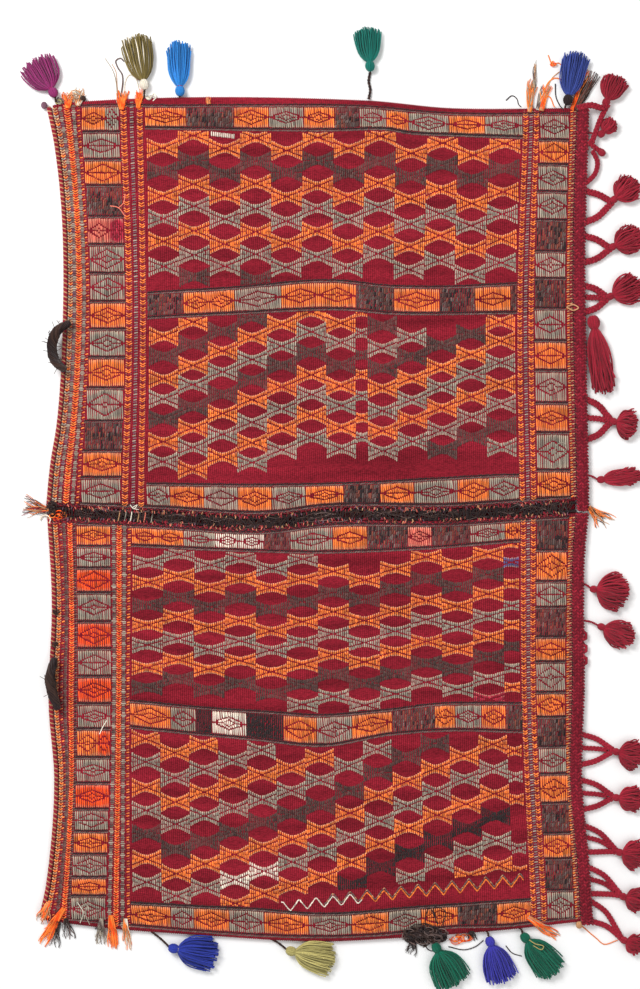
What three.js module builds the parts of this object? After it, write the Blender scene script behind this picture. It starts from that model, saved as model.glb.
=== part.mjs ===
// Double saddle bag of kilim cloth, laid flat. One woven strip is folded up at both ends into two
// pouches whose mouths face each other at the middle. Millimetres: +X across the strip, +Y along it
// towards the upper pouch, +Z up. The underside lies on z = 0 and the origin is on it, mid-bag.
import * as THREE from 'three';

// Cloth and pouches
const CLOTH = 3;
const POUCH_ROOM = 8; // clear height inside a pouch
const SIDE_ROOM = 2; // clear height left where a pouch closes at its sides and fold
const CLOSING = 30; // distance over which a pouch closes down
const GAP = 0.3; // between pieces that touch
const SEAM = 0.9; // between the cloth's edge and what is sewn along it

// Edges of the bag, as [distance along, place] pairs
const LEFT_UPPER = [[-2, -340], [60, -334], [110, -326], [190, -320], [360, -319], [460, -329], [509, -339]];
const LEFT_LOWER = [[-504, -347], [-465, -339], [-337, -329], [-240, -336], [-112, -332], [-2, -338]];
const RIGHT_UPPER = [[-2, 326], [110, 324], [330, 321], [505, 326]];
const RIGHT_LOWER = [[-516, 331], [-439, 326], [-337, 317], [-215, 320], [-60, 320], [-2, 325]];
const TOP_FOLD = [[-340, 508], [-295, 514], [64, 515.5], [167, 506], [326, 506]];
const BOTTOM_FOLD = [[-342, -511], [-264, -521], [-145, -530], [5, -538], [80, -535], [230, -524], [331, -513]];
const MOUTH_LINE = [[-340, 0], [-195, -6.5], [-62, -13], [15, -4], [167, -3.5], [255, 2], [330, 7]];

// Cords and bindings sewn along the edges
const BINDING = 4; // thickness of the black binding on each mouth
const SLIT = 6; // clear width between the two bindings
const LIP = SLIT / 2 + BINDING + SEAM; // from the mouth line to the cloth's edge
const SIDE_CORD = 8;
const BRAID_WIDTH = 18;
const BRAID_HEIGHT = 10;
const PLAIT = 7; // thickness of the plaits that hold the red tassels
const STRING = 4;

// Tassels
const TASSEL_THICK = 15;
const HEAD = 6; // radius of a tassel's head

const COLOURS = {
  ground: '#7d1f2e', black: '#2e2424', dull: '#5a4038', braid: '#8e2433', orange: '#f07a35',
  magenta: '#8e2f62', olive: '#7a6a3a', sky: '#2f7cc4', green: '#1f6f68', navy: '#3a4a90',
  blue: '#2f3f93', khaki: '#a8a06a', violet: '#3b3a8f', hair: '#3a2a26',
};

const bag = new THREE.Group();

function addPiece(name, geometry, colour) {
  const material = new THREE.MeshStandardMaterial({ color: COLOURS[colour], roughness: 0.95, metalness: 0 });
  const mesh = new THREE.Mesh(geometry, material);
  mesh.name = name;
  bag.add(mesh);
}

// A smooth line through [distance, place] pairs, read at any distance
function edge(pairs) {
  const line = new THREE.CubicInterpolant(pairs.map((p) => p[0]), pairs.map((p) => p[1]), 1);
  return (at) => line.evaluate(THREE.MathUtils.clamp(at, pairs[0][0], pairs.at(-1)[0]))[0];
}

const leftUpper = edge(LEFT_UPPER);
const leftLower = edge(LEFT_LOWER);
const rightUpper = edge(RIGHT_UPPER);
const rightLower = edge(RIGHT_LOWER);
const topFold = edge(TOP_FOLD);
const bottomFold = edge(BOTTOM_FOLD);
const mouthLine = edge(MOUTH_LINE);
const outerLeft = (y) => (y < 0 ? leftLower(y) : leftUpper(y));
const clothLeft = (y) => outerLeft(y) + SIDE_CORD + SEAM;
const clothRight = (y) => (y < 0 ? rightLower(y) : rightUpper(y));
const outerRight = (y) => clothRight(y) + SEAM + BRAID_WIDTH;

// ---- The cloth: one strip, front of the upper pouch, back, front of the lower pouch ----

const COLUMNS = 12;
const EVEN_ROWS = 14;
const FRONT_ROWS = [...Array(EVEN_ROWS).keys()].map((row) => row / EVEN_ROWS).concat(0.96, 0.985, 1);
const FOLD_ROWS = 5;
const BACK_ROWS = 28;
const FOLD_RADIUS = (SIDE_ROOM + CLOTH) / 2;

function openedBy(distance) {
  return THREE.MathUtils.smoothstep(distance, 0, CLOSING);
}

// The stations along one column of the cloth: place on the middle of its thickness, and the way out of it
function columnStations(across) {
  const stations = [];
  const xAt = (y) => THREE.MathUtils.lerp(clothLeft(y), clothRight(y), across);
  const middleX = xAt(0);
  for (const side of [1, -1]) {
    const fold = side > 0 ? topFold(xAt(500)) : bottomFold(xAt(-500));
    const lip = mouthLine(middleX) + side * LIP;
    const foldStart = fold - side * (FOLD_RADIUS + CLOTH / 2);
    const half = [];
    for (const row of FRONT_ROWS) {
      const y = THREE.MathUtils.lerp(lip, foldStart, row);
      const x = xAt(y);
      const fromSide = Math.min(x - clothLeft(y), clothRight(y) - x);
      const open = openedBy(fromSide) * openedBy(Math.abs(foldStart - y));
      const z = CLOTH * 1.5 + THREE.MathUtils.lerp(SIDE_ROOM, POUCH_ROOM, open);
      half.push({ x, y, z, outY: 0, outZ: 1 });
    }
    for (let row = 1; row <= FOLD_ROWS; row++) {
      const turn = (row / FOLD_ROWS) * Math.PI;
      const y = foldStart + side * FOLD_RADIUS * Math.sin(turn);
      const z = CLOTH / 2 + FOLD_RADIUS * (1 + Math.cos(turn));
      half.push({ x: xAt(foldStart), y, z, outY: side * Math.sin(turn), outZ: Math.cos(turn) });
    }
    if (side > 0) {
      stations.push(...half);
      const bottom = bottomFold(xAt(-500)) + FOLD_RADIUS + CLOTH / 2;
      for (let row = 1; row < BACK_ROWS; row++) {
        const y = THREE.MathUtils.lerp(foldStart, bottom, row / BACK_ROWS);
        stations.push({ x: xAt(y), y, z: CLOTH / 2, outY: 0, outZ: -1 });
      }
    } else {
      stations.push(...half.reverse());
    }
  }
  return stations;
}

const columns = [];
for (let i = 0; i <= COLUMNS; i++) {
  columns.push(columnStations(0.5 - 0.5 * Math.cos((i / COLUMNS) * Math.PI)));
}

// A closed solid from a grid of stations, thickened half to each side
function clothSolid() {
  const rows = columns[0].length;
  const positions = [];
  for (const face of [1, -1]) {
    for (const column of columns) {
      for (const s of column) {
        const out = face * CLOTH / 2;
        positions.push(s.x, s.y + out * s.outY, s.z + out * s.outZ);
      }
    }
  }
  const inner = columns.length * rows;
  const at = (i, j, face) => i * rows + j + (face < 0 ? inner : 0);
  const triangles = [];
  const quad = (a, b, c, d) => triangles.push(a, b, c, a, c, d);
  for (let i = 0; i < COLUMNS; i++) {
    for (let j = 0; j < rows - 1; j++) {
      quad(at(i, j, 1), at(i + 1, j, 1), at(i + 1, j + 1, 1), at(i, j + 1, 1));
      quad(at(i, j, -1), at(i, j + 1, -1), at(i + 1, j + 1, -1), at(i + 1, j, -1));
    }
    quad(at(i, 0, 1), at(i, 0, -1), at(i + 1, 0, -1), at(i + 1, 0, 1));
    const end = rows - 1;
    quad(at(i, end, 1), at(i + 1, end, 1), at(i + 1, end, -1), at(i, end, -1));
  }
  for (let j = 0; j < rows - 1; j++) {
    quad(at(0, j, 1), at(0, j + 1, 1), at(0, j + 1, -1), at(0, j, -1));
    quad(at(COLUMNS, j, 1), at(COLUMNS, j, -1), at(COLUMNS, j + 1, -1), at(COLUMNS, j + 1, 1));
  }
  const geometry = new THREE.BufferGeometry();
  geometry.setAttribute('position', new THREE.Float32BufferAttribute(positions, 3));
  geometry.setIndex(triangles);
  geometry.computeVertexNormals();
  return geometry;
}

addPiece('bag_cloth', clothSolid(), 'ground');

// ---- Tubes: bindings, side cords, plaits and strings ----

function tube(points, width, height, sides, steps) {
  const section = new THREE.Shape();
  for (let k = 0; k < sides; k++) {
    const turn = (k / sides) * Math.PI * 2;
    const x = (height / 2) * Math.cos(turn);
    const y = (width / 2) * Math.sin(turn);
    if (k === 0) section.moveTo(x, y);
    else section.lineTo(x, y);
  }
  section.closePath();
  const path = new THREE.CatmullRomCurve3(points.map((p) => new THREE.Vector3(...p)));
  return new THREE.ExtrudeGeometry(section, { steps, bevelEnabled: false, extrudePath: path });
}

// A binding runs along a lip, which is the first or the last station of every column
for (const [name, side] of [['upper_mouth_binding', 1], ['lower_mouth_binding', -1]]) {
  const lip = columns.map((column) => (side > 0 ? column[0] : column.at(-1)));
  const points = lip.map((s) => [s.x, s.y - side * (LIP - SLIT / 2 - BINDING / 2), s.z]);
  addPiece(name, tube(points, BINDING, BINDING, 8, 36), 'black');
}

function sideCord(name, side, place, width, height, colour) {
  const points = [];
  const last = side > 0 ? 500 : -500;
  for (let k = 0; k <= 10; k++) {
    const y = THREE.MathUtils.lerp(side * 8, last, k / 10);
    points.push([place(y), y, height / 2]);
  }
  addPiece(name, tube(points, width, height, 8, 24), colour);
}

for (const [half, side] of [['upper', 1], ['lower', -1]]) {
  const leftPlace = (y) => outerLeft(y) + SIDE_CORD / 2;
  const rightPlace = (y) => clothRight(y) + SEAM + BRAID_WIDTH / 2;
  sideCord(`left_${half}_side_cord`, side, leftPlace, SIDE_CORD, SIDE_CORD, 'dull');
  sideCord(`right_${half}_side_braid`, side, rightPlace, BRAID_WIDTH, BRAID_HEIGHT, 'braid');
}

// ---- Tassels: a head with a spread skirt of yarn, flattened where it lies ----

// The profile of a tassel, [share of its length, share of half its width]
const SKIRT = [[0.3, 0.45], [0.6, 0.82], [1, 1]];

function tasselSolid(from, to, width, head = HEAD) {
  const length = Math.hypot(to[0] - from[0], to[1] - from[1]);
  const profile = [new THREE.Vector2(0, 0)];
  profile.push(new THREE.Vector2(head * 0.8, head * 0.4), new THREE.Vector2(head, head));
  profile.push(new THREE.Vector2(head * 0.75, head * 1.8));
  for (const [along, out] of SKIRT) {
    profile.push(new THREE.Vector2(out * width / 2, head * 1.8 + along * (length - head * 1.8)));
  }
  profile.push(new THREE.Vector2(0, length));
  const geometry = new THREE.LatheGeometry(profile, 8);
  geometry.scale(1, 1, TASSEL_THICK / width);
  geometry.rotateZ(Math.atan2(to[1] - from[1], to[0] - from[0]) - Math.PI / 2);
  geometry.translate(from[0], from[1], TASSEL_THICK / 2);
  return geometry;
}

// Name, head, middle of the skirt's end, width of the skirt, colour
const COLOURED_TASSELS = [
  ['magenta_tassel', [-326, 520], [-352, 566], 52, 'magenta'],
  ['olive_tassel', [-215, 534], [-226, 596], 42, 'olive'],
  ['sky_blue_tassel', [-170, 519], [-171, 587], 31, 'sky'],
  ['top_green_tassel', [68, 552], [64, 605], 36, 'green'],
  ['navy_tassel', [314, 516], [326, 576], 36, 'navy'],
  ['blue_tassel', [-186, -545], [-124, -554], 46, 'blue'],
  ['khaki_tassel', [-42, -545], [20, -562], 46, 'khaki'],
  ['left_green_tassel', [146, -541], [178, -592], 50, 'green'],
  ['violet_tassel', [216, -534], [238, -588], 42, 'violet'],
  ['right_green_tassel', [258, -530], [300, -582], 44, 'green'],
];
for (const [name, head, end, width, colour] of COLOURED_TASSELS) {
  addPiece(name, tasselSolid(head, end, width), colour);
}

const stringStart = [66, topFold(66) + STRING / 2 + GAP, STRING / 2 + 1];
const stringRoute = [stringStart, [68, 529, STRING / 2], [66, 540, STRING / 2], [68, 552 - GAP, STRING / 2]];
addPiece('green_tassel_string', tube(stringRoute, STRING, STRING, 8, 4), 'black');

// Red tassels along the right side, each on a plaited loop: name, head, end of the skirt, skirt width,
// and the two places along the side that the loop comes out of, or one for a short stem
const RED_TASSELS = [
  ['red_tassel_1', [354, 470], [373, 490], 22, []],
  ['red_tassel_2', [369, 388], [402, 414], 38, [402, 362]],
  ['red_tassel_3', [367, 330], [408, 348], 40, [346, 312]],
  ['red_tassel_4', [364, 268], [408, 286], 42, [284, 250]],
  ['red_tassel_5', [368, 114], [402, 108], 42, [142, 90]],
  ['red_tassel_6', [352, 40], [408, 47], 24, []],
  ['red_tassel_7', [343, -96], [391, -102], 54, []],
  ['red_tassel_8', [353, -142], [397, -160], 38, []],
  ['red_tassel_9', [371, -299], [409, -307], 42, [-278, -317]],
  ['red_tassel_10', [371, -357], [410, -360], 36, [-335, -373]],
  ['red_tassel_11', [375, -425], [410, -431], 42, [-392, -426]],
  ['red_tassel_12', [380, -480], [411, -488], 34, [-444, -478]],
  ['red_tassel_13', [381, -534], [409, -545], 30, [-486, -512]],
];

// A loop that comes out of the side at two places and turns round at the tassel's head
function loopRoute(name, head, ends) {
  const tip = [head[0] - PLAIT / 2 - GAP - 0.5, head[1], PLAIT / 2];
  const legs = ends.map((y) => [
    [outerRight(y) + GAP + PLAIT / 2, y, PLAIT / 2 + 1],
    [THREE.MathUtils.lerp(outerRight(y), tip[0], 0.55), THREE.MathUtils.lerp(y, head[1], 0.3), PLAIT / 2],
    [THREE.MathUtils.lerp(outerRight(y), tip[0], 0.88), THREE.MathUtils.lerp(y, head[1], 0.6), PLAIT / 2],
  ]);
  return [...legs[0], tip, ...legs[1].reverse()];
}

for (const [name, head, end, width, ends] of RED_TASSELS) {
  addPiece(name, tasselSolid(head, end, width), 'braid');
  if (ends.length) {
    addPiece(`${name}_loop`, tube(loopRoute(name, head, ends), PLAIT, PLAIT, 8, 10), 'braid');
  }
}

// ---- Other yarn: a fringe, an empty loop, hanks of hair and knotted ends ----

addPiece('red_fringe', tasselSolid([346, 245], [362, 150], 34, 8), 'braid');
addPiece('red_corner_tassel', tasselSolid([356, 512], [385, 546], 32), 'braid');
addPiece('right_corner_tuft', tasselSolid([350, 4], [368, -16], 20, 4), 'orange');

const OVER_CLOTH = CLOTH * 2 + POUCH_ROOM + GAP; // height of the top of the pouch, with a gap
const crescent = [[-306, 236], [-322, 226], [-329, 208], [-325, 188], [-312, 177]];
const hank = 11;
const crescentRoute = crescent.map(([x, y]) => [x, y, OVER_CLOTH + hank / 2]);
addPiece('dark_hank_upper', tube(crescentRoute, hank, hank, 8, 10), 'hair');
const straightHank = [[-325, -182], [-331, -204], [-328, -226], [-321, -246]];
const straightRoute = straightHank.map(([x, y]) => [x, y, OVER_CLOTH + hank / 2]);
addPiece('dark_hank_lower', tube(straightRoute, hank, hank, 8, 8), 'hair');

// Name, start, end, width, colour
const YARN_ENDS = [
  ['top_left_ends', [-302, 518], [-296, 535], 20, 'orange'],
  ['top_middle_ends', [-240, 518], [-241, 538], 16, 'orange'],
  ['top_right_ends', [276, 511], [282, 566], 24, 'orange'],
  ['bottom_left_ends', [-330, -515], [-345, -534], 24, 'orange'],
  ['bottom_hair_tuft', [124, -540], [120, -562], 22, 'hair'],
  ['left_corner_ends', [-344, 4], [-368, 6], 22, 'orange'],
];
for (const [name, from, to, width, colour] of YARN_ENDS) {
  addPiece(name, tasselSolid(from, to, width, 4), colour);
}

export default bag;
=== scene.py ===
import math

import bpy
import numpy as np
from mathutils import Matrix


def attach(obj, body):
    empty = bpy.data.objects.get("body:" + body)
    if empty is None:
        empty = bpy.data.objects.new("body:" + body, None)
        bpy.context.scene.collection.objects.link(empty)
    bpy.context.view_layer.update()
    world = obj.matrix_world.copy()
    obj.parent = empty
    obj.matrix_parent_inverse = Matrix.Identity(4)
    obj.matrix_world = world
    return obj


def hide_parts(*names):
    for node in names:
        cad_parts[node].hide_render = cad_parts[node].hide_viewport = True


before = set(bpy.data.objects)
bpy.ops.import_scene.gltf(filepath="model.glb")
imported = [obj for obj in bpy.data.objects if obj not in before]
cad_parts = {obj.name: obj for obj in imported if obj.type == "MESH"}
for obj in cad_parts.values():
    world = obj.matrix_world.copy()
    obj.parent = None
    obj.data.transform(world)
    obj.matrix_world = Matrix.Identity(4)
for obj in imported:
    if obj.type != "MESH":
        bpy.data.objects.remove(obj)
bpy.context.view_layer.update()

# ---- Camera, light and floor ----
# The bag lies flat on a pale floor and is seen from straight above, with a long lens. One big soft
# lamp hangs up and to the left, and a weaker one fills from the right.

LENS, FILM = 85, 36
ABOVE = 2.929
MIDDLE = (0.005, 0.0219)

camera_data = bpy.data.cameras.new("overhead_camera")
camera_data.lens = LENS
camera_data.sensor_width = FILM
camera = bpy.data.objects.new("overhead_camera", camera_data)
camera.location = (*MIDDLE, ABOVE)
bpy.context.scene.collection.objects.link(camera)
bpy.context.scene.camera = camera
bpy.context.scene.view_settings.view_transform = "Standard"


def linear(code):
    """An sRGB hex colour as linear red, green, blue and alpha."""
    parts = [int(code[i:i + 2], 16) / 255 for i in (1, 3, 5)]
    return [c / 12.92 if c <= 0.04045 else ((c + 0.055) / 1.055) ** 2.4 for c in parts] + [1.0]


def add(tree, kind, sockets=None, **settings):
    """Adds a node with its settings. A socket given another node's output is linked, any other is set."""
    made = tree.nodes.new(kind)
    for name, value in settings.items():
        setattr(made, name, value)
    for socket, value in (sockets or {}).items():
        if isinstance(value, bpy.types.NodeSocket):
            tree.links.new(value, made.inputs[socket])
        else:
            made.inputs[socket].default_value = value
    return made


def new_material(name):
    """An empty material: its tree, ready for nodes, and its output."""
    material = bpy.data.materials.new(name)
    material.use_nodes = True
    tree = material.node_tree
    tree.nodes.clear()
    return material, tree, add(tree, "ShaderNodeOutputMaterial")


# Matt studio floor paint: even, with only a faint cloudiness and no gloss
floor_paint, tree, output = new_material("matt_studio_paint")
place = add(tree, "ShaderNodeTexCoord").outputs["Object"]
cloud = add(tree, "ShaderNodeTexNoise", {"Vector": place, "Scale": 1.2, "Detail": 2.0})
shade = add(tree, "ShaderNodeMix", {
    "Factor": cloud.outputs["Fac"], "A": linear("#f6f6f5"), "B": linear("#fbfbfb"),
}, data_type="RGBA")
paint = add(tree, "ShaderNodeBsdfPrincipled", {"Base Color": shade.outputs["Result"], "Roughness": 0.95})
paint.inputs["Specular IOR Level"].default_value = 0.1
tree.links.new(paint.outputs["BSDF"], output.inputs["Surface"])

floor_mesh = bpy.data.meshes.new("studio_floor")
reach = 6.0
floor_mesh.from_pydata(
    [(-reach, -reach, 0), (reach, -reach, 0), (reach, reach, 0), (-reach, reach, 0)], [], [(0, 1, 2, 3)]
)
floor_mesh.materials.append(floor_paint)
floor = bpy.data.objects.new("studio_floor", floor_mesh)
bpy.context.scene.collection.objects.link(floor)

for name, spot, watts, size in (
    ("key_lamp", (-1.3, 1.4, 2.3), 66, 1.1),
    ("fill_lamp", (1.8, -1.0, 2.2), 16, 2.2),
):
    lamp_data = bpy.data.lights.new(name, "AREA")
    lamp_data.energy = watts
    lamp_data.size = size
    lamp = bpy.data.objects.new(name, lamp_data)
    lamp.location = spot
    aim = math.atan2(math.hypot(spot[0], spot[1]), spot[2])
    lamp.rotation_euler = (aim, 0, math.atan2(spot[1], spot[0]) + math.pi / 2)
    bpy.context.scene.collection.objects.link(lamp)

world = bpy.data.worlds.new("studio_air")
world.use_nodes = True
world.node_tree.nodes["Background"].inputs["Color"].default_value = linear("#ffffff")
world.node_tree.nodes["Background"].inputs["Strength"].default_value = 0.58
bpy.context.scene.world = world


# ---- Outline of the bag and the shape of its cloth, in millimetres ----
# One strip, 650 mm wide, is folded up at both ends into two pouches whose mouths meet at the middle.
# The hand-woven edges wander, so each is a smooth line through a few measured places.

CLOTH = 3  # thickness
POUCH_ROOM = 8  # clear height inside a pouch
SIDE_ROOM = 2  # clear height left where a pouch closes at its sides and fold
CLOSING = 30  # distance over which a pouch closes down
SEAM = 0.9  # between the cloth's edge and what is sewn along it
BINDING = 4  # thickness of the binding of each mouth
SLIT = 6  # clear width between the two bindings
LIP = SLIT / 2 + BINDING + SEAM  # from the mouths' middle line to the cloth's edge
SIDE_CORD = 8
BRAID_WIDTH = 18  # room beside the cloth for the braid
BRAID_HEIGHT = 10
GAP = 0.3  # between pieces that touch


def smooth_line(*pairs):
    """A smooth line through (distance, place) pairs. It reads one distance or an array of them."""
    at, value = np.array(pairs, float).T
    chord = np.diff(value) / np.diff(at)
    slope = np.concatenate([chord[:1], (chord[:-1] + chord[1:]) / 2, chord[-1:]])

    def read(distance):
        distance = np.clip(distance, at[0], at[-1])
        k = np.clip(np.searchsorted(at, distance) - 1, 0, len(at) - 2)
        span = at[k + 1] - at[k]
        s = (distance - at[k]) / span
        ends = value[k] * (1 + 2 * s) * (1 - s) ** 2 + value[k + 1] * s * s * (3 - 2 * s)
        return ends + span * (slope[k] * s * (1 - s) ** 2 + slope[k + 1] * s * s * (s - 1))

    return read


left_upper = smooth_line(
    (-2, -340), (60, -334), (110, -326), (190, -320), (360, -319), (460, -329), (509, -339)
)
left_lower = smooth_line((-504, -347), (-465, -339), (-337, -329), (-240, -336), (-112, -332), (-2, -338))
right_upper = smooth_line((-2, 326), (110, 324), (330, 321), (505, 326))
right_lower = smooth_line((-516, 331), (-439, 326), (-337, 317), (-215, 320), (-60, 320), (-2, 325))
top_fold = smooth_line((-340, 508), (-295, 514), (64, 515.5), (167, 506), (326, 506))
bottom_fold = smooth_line(
    (-342, -511), (-264, -521), (-145, -530), (5, -538), (80, -535), (230, -524), (331, -513)
)
mouth_line = smooth_line((-340, 0), (-195, -6.5), (-62, -13), (15, -4), (167, -3.5), (255, 2), (330, 7))


def outer_left(y):
    return np.where(np.asarray(y) < 0, left_lower(y), left_upper(y))


def cloth_left(y):
    return outer_left(y) + SIDE_CORD + SEAM


def cloth_right(y):
    return np.where(np.asarray(y) < 0, right_lower(y), right_upper(y))


def outer_right(y):
    return cloth_right(y) + SEAM + BRAID_WIDTH


def soften(distance):
    s = np.clip(distance / CLOSING, 0, 1)
    return s * s * (3 - 2 * s)


def ripple(x, y):
    """The gentle unevenness of hand-woven wool that has been folded and packed."""
    waves = np.sin(x / 47 + 1.3) * np.sin(y / 61 + 0.4) + 0.7 * np.sin(x / 23 - y / 83)
    waves = waves + 0.5 * np.sin(y / 29 + x / 190)
    return waves * 0.5


def cloth_height(x, y):
    """Height of the top face of a pouch's front."""
    side = np.minimum(x - cloth_left(y), cloth_right(y) - x)
    fold = np.where(np.asarray(y) < mouth_line(x), y - bottom_fold(x), top_fold(x) - y)
    room = soften(side) * soften(fold - 4)
    return CLOTH * 2 + SIDE_ROOM + (POUCH_ROOM - SIDE_ROOM) * room + ripple(x, y) * room


# ---- Plaited loops and the string: the free cords of the trimming ----
# Each red tassel on the right side hangs from a three-strand plait of red wool, sewn to the side braid
# at two places and gathered at the tassel's head. The green tassel hangs on a twisted goat-hair string.

PLAIT = 7
STRING = 4
DYES = {
    "orange": "#ff8838", "flame": "#ff5a1a", "brown": "#61443f", "grey": "#a79c8c", "cream": "#f4ead8",
    "pink": "#ea7d68", "black": "#2f2324", "dusk": "#75605b", "tan": "#c8966c", "red": "#9a2233",
    "magenta": "#94306c", "olive": "#7a6a3b", "sky": "#2f7fc8", "top green": "#187468", "green": "#12664f",
    "navy": "#384890", "blue": "#303fa2", "violet": "#403ea8", "khaki": "#b9ae6e", "hair": "#3f2c26",
    "plum": "#7d5868", "rust": "#8a4a3c", "crimson": "#c22a45", "slate": "#565a8c",
}
yarn_rng = np.random.default_rng(11)


def yarn_tree():
    """Geometry nodes that run a round yarn along every line of the mesh they are given."""
    group = bpy.data.node_groups.new("spun_yarn", "GeometryNodeTree")
    group.interface.new_socket("Lines", in_out="INPUT", socket_type="NodeSocketGeometry")
    group.interface.new_socket("Sides", in_out="INPUT", socket_type="NodeSocketInt")
    group.interface.new_socket("Wool", in_out="INPUT", socket_type="NodeSocketMaterial")
    group.interface.new_socket("Yarn", in_out="OUTPUT", socket_type="NodeSocketGeometry")
    given = add(group, "NodeGroupInput").outputs
    thick = add(group, "GeometryNodeInputNamedAttribute", {"Name": "thick"}, data_type="FLOAT")
    lines = add(group, "GeometryNodeMeshToCurve", {"Mesh": given["Lines"]})
    sized = add(group, "GeometryNodeSetCurveRadius", {
        "Curve": lines.outputs["Curve"], "Radius": thick.outputs["Attribute"],
    })
    ring = add(group, "GeometryNodeCurvePrimitiveCircle", {"Resolution": given["Sides"], "Radius": 1.0})
    swept = add(group, "GeometryNodeCurveToMesh", {
        "Curve": sized.outputs["Curve"], "Profile Curve": ring.outputs["Curve"],
        "Scale": thick.outputs["Attribute"], "Fill Caps": True,
    })
    smooth = add(group, "GeometryNodeSetShadeSmooth", {"Geometry": swept.outputs["Mesh"]})
    whole = add(group, "GeometryNodeRealizeInstances", {"Geometry": smooth.outputs["Geometry"]})
    dyed = add(group, "GeometryNodeSetMaterial", {
        "Geometry": whole.outputs["Geometry"], "Material": given["Wool"],
    })
    output = add(group, "NodeGroupOutput")
    group.links.new(dyed.outputs["Geometry"], output.inputs["Yarn"])
    return group


spun_yarn = yarn_tree()


def grown(name, source, group, inputs):
    """Runs a tree on a source mesh and keeps the result as a plain piece with its place in its mesh."""
    piece = bpy.data.objects.new(name, source)
    bpy.context.scene.collection.objects.link(piece)
    grower = piece.modifiers.new(name, "NODES")
    grower.node_group = group
    for item in group.interface.items_tree:
        if item.in_out == "INPUT" and item.name in inputs:
            grower[item.identifier] = inputs[item.name]
    ready = piece.evaluated_get(bpy.context.evaluated_depsgraph_get())
    piece.data = bpy.data.meshes.new_from_object(ready)
    piece.data.name = name
    piece.modifiers.clear()
    bpy.data.meshes.remove(source)
    return piece


class Skein:
    """A pile of yarns, each a line of points in millimetres with its own thickness and dye."""

    def __init__(self):
        self.lines = []

    def lay(self, points, thickness, dye, fade=0.12, taper=1.0):
        """Adds one yarn. Its dye varies a little from the next one's, and its end may be thinner."""
        shade = 1 + fade * yarn_rng.uniform(-1, 1)
        colour = [channel * shade for channel in linear(DYES.get(dye, dye))[:3]] + [1.0]
        radius = np.linspace(1, taper, len(points)) * thickness / 2
        points = np.array(points, float)
        points[:, 2] = np.maximum(points[:, 2], radius)
        self.lines.append((points, radius, colour))

    def spin(self, name, wool, sides=6):
        """Turns the pile into one piece."""
        source = bpy.data.meshes.new(name + "_lines")
        points = np.concatenate([line[0] for line in self.lines]) / 1000
        counts = [len(line[0]) for line in self.lines]
        starts = np.cumsum([0] + counts[:-1])
        edges = [(s + k, s + k + 1) for s, count in zip(starts, counts) for k in range(count - 1)]
        source.from_pydata(points.tolist(), edges, [])
        thick = source.attributes.new("thick", "FLOAT", "POINT")
        thick.data.foreach_set("value", np.concatenate([line[1] for line in self.lines]) / 1000)
        dye = source.attributes.new("dye", "FLOAT_COLOR", "POINT")
        dye.data.foreach_set("color", np.repeat([line[2] for line in self.lines], counts, axis=0).ravel())
        return grown(name, source, spun_yarn, {"Sides": sides, "Wool": wool})


def resample(points, step):
    """A smooth line through the points, as evenly spaced points about a step apart."""
    points = np.asarray(points, float)
    along = np.concatenate([[0], np.cumsum(np.linalg.norm(np.diff(points, axis=0), axis=1))])
    lines = [smooth_line(*zip(along, points[:, axis])) for axis in range(3)]
    fine = np.linspace(0, along[-1], max(4, int(along[-1] / step) + 1))
    return np.stack([line(fine) for line in lines], axis=1)


def sides_of(path):
    """For each point of a path: the way along it, a level way across it, and the way up from both."""
    ahead = np.gradient(path, axis=0)
    ahead /= np.linalg.norm(ahead, axis=1, keepdims=True)
    across = np.cross(ahead, (0, 0, 1))
    across /= np.maximum(np.linalg.norm(across, axis=1, keepdims=True), 1e-6)
    return ahead, across, np.cross(across, ahead)


def distances(path):
    return np.concatenate([[0], np.cumsum(np.linalg.norm(np.diff(path, axis=0), axis=1))])


def plait(skein, points, width, height, dye, repeat=13):
    """Three strands that cross over and under each other along a path."""
    path = resample(points, 1.6)
    _, across, up = sides_of(path)
    turn = distances(path) / repeat * 2 * math.pi
    strand = height * 0.56
    for k in range(3):
        phase = turn + k * 2 * math.pi / 3
        aside = np.sin(phase)[:, None] * across * (width - strand) / 2
        over = np.sin(2 * phase)[:, None] * up * (height - strand) / 2
        skein.lay(path + aside + over, strand, dye)
    return path


def twist(skein, points, width, dyes, repeat=7):
    """Two or more strands laid round each other along a path."""
    path = resample(points, repeat / 8)
    _, across, up = sides_of(path)
    turn = distances(path) / repeat * 2 * math.pi
    strand = width * 0.58
    for k, dye in enumerate(dyes):
        phase = (turn + k * 2 * math.pi / len(dyes))[:, None]
        skein.lay(path + (np.cos(phase) * across + np.sin(phase) * up) * (width - strand) / 2, strand, dye)
    return path


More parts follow.
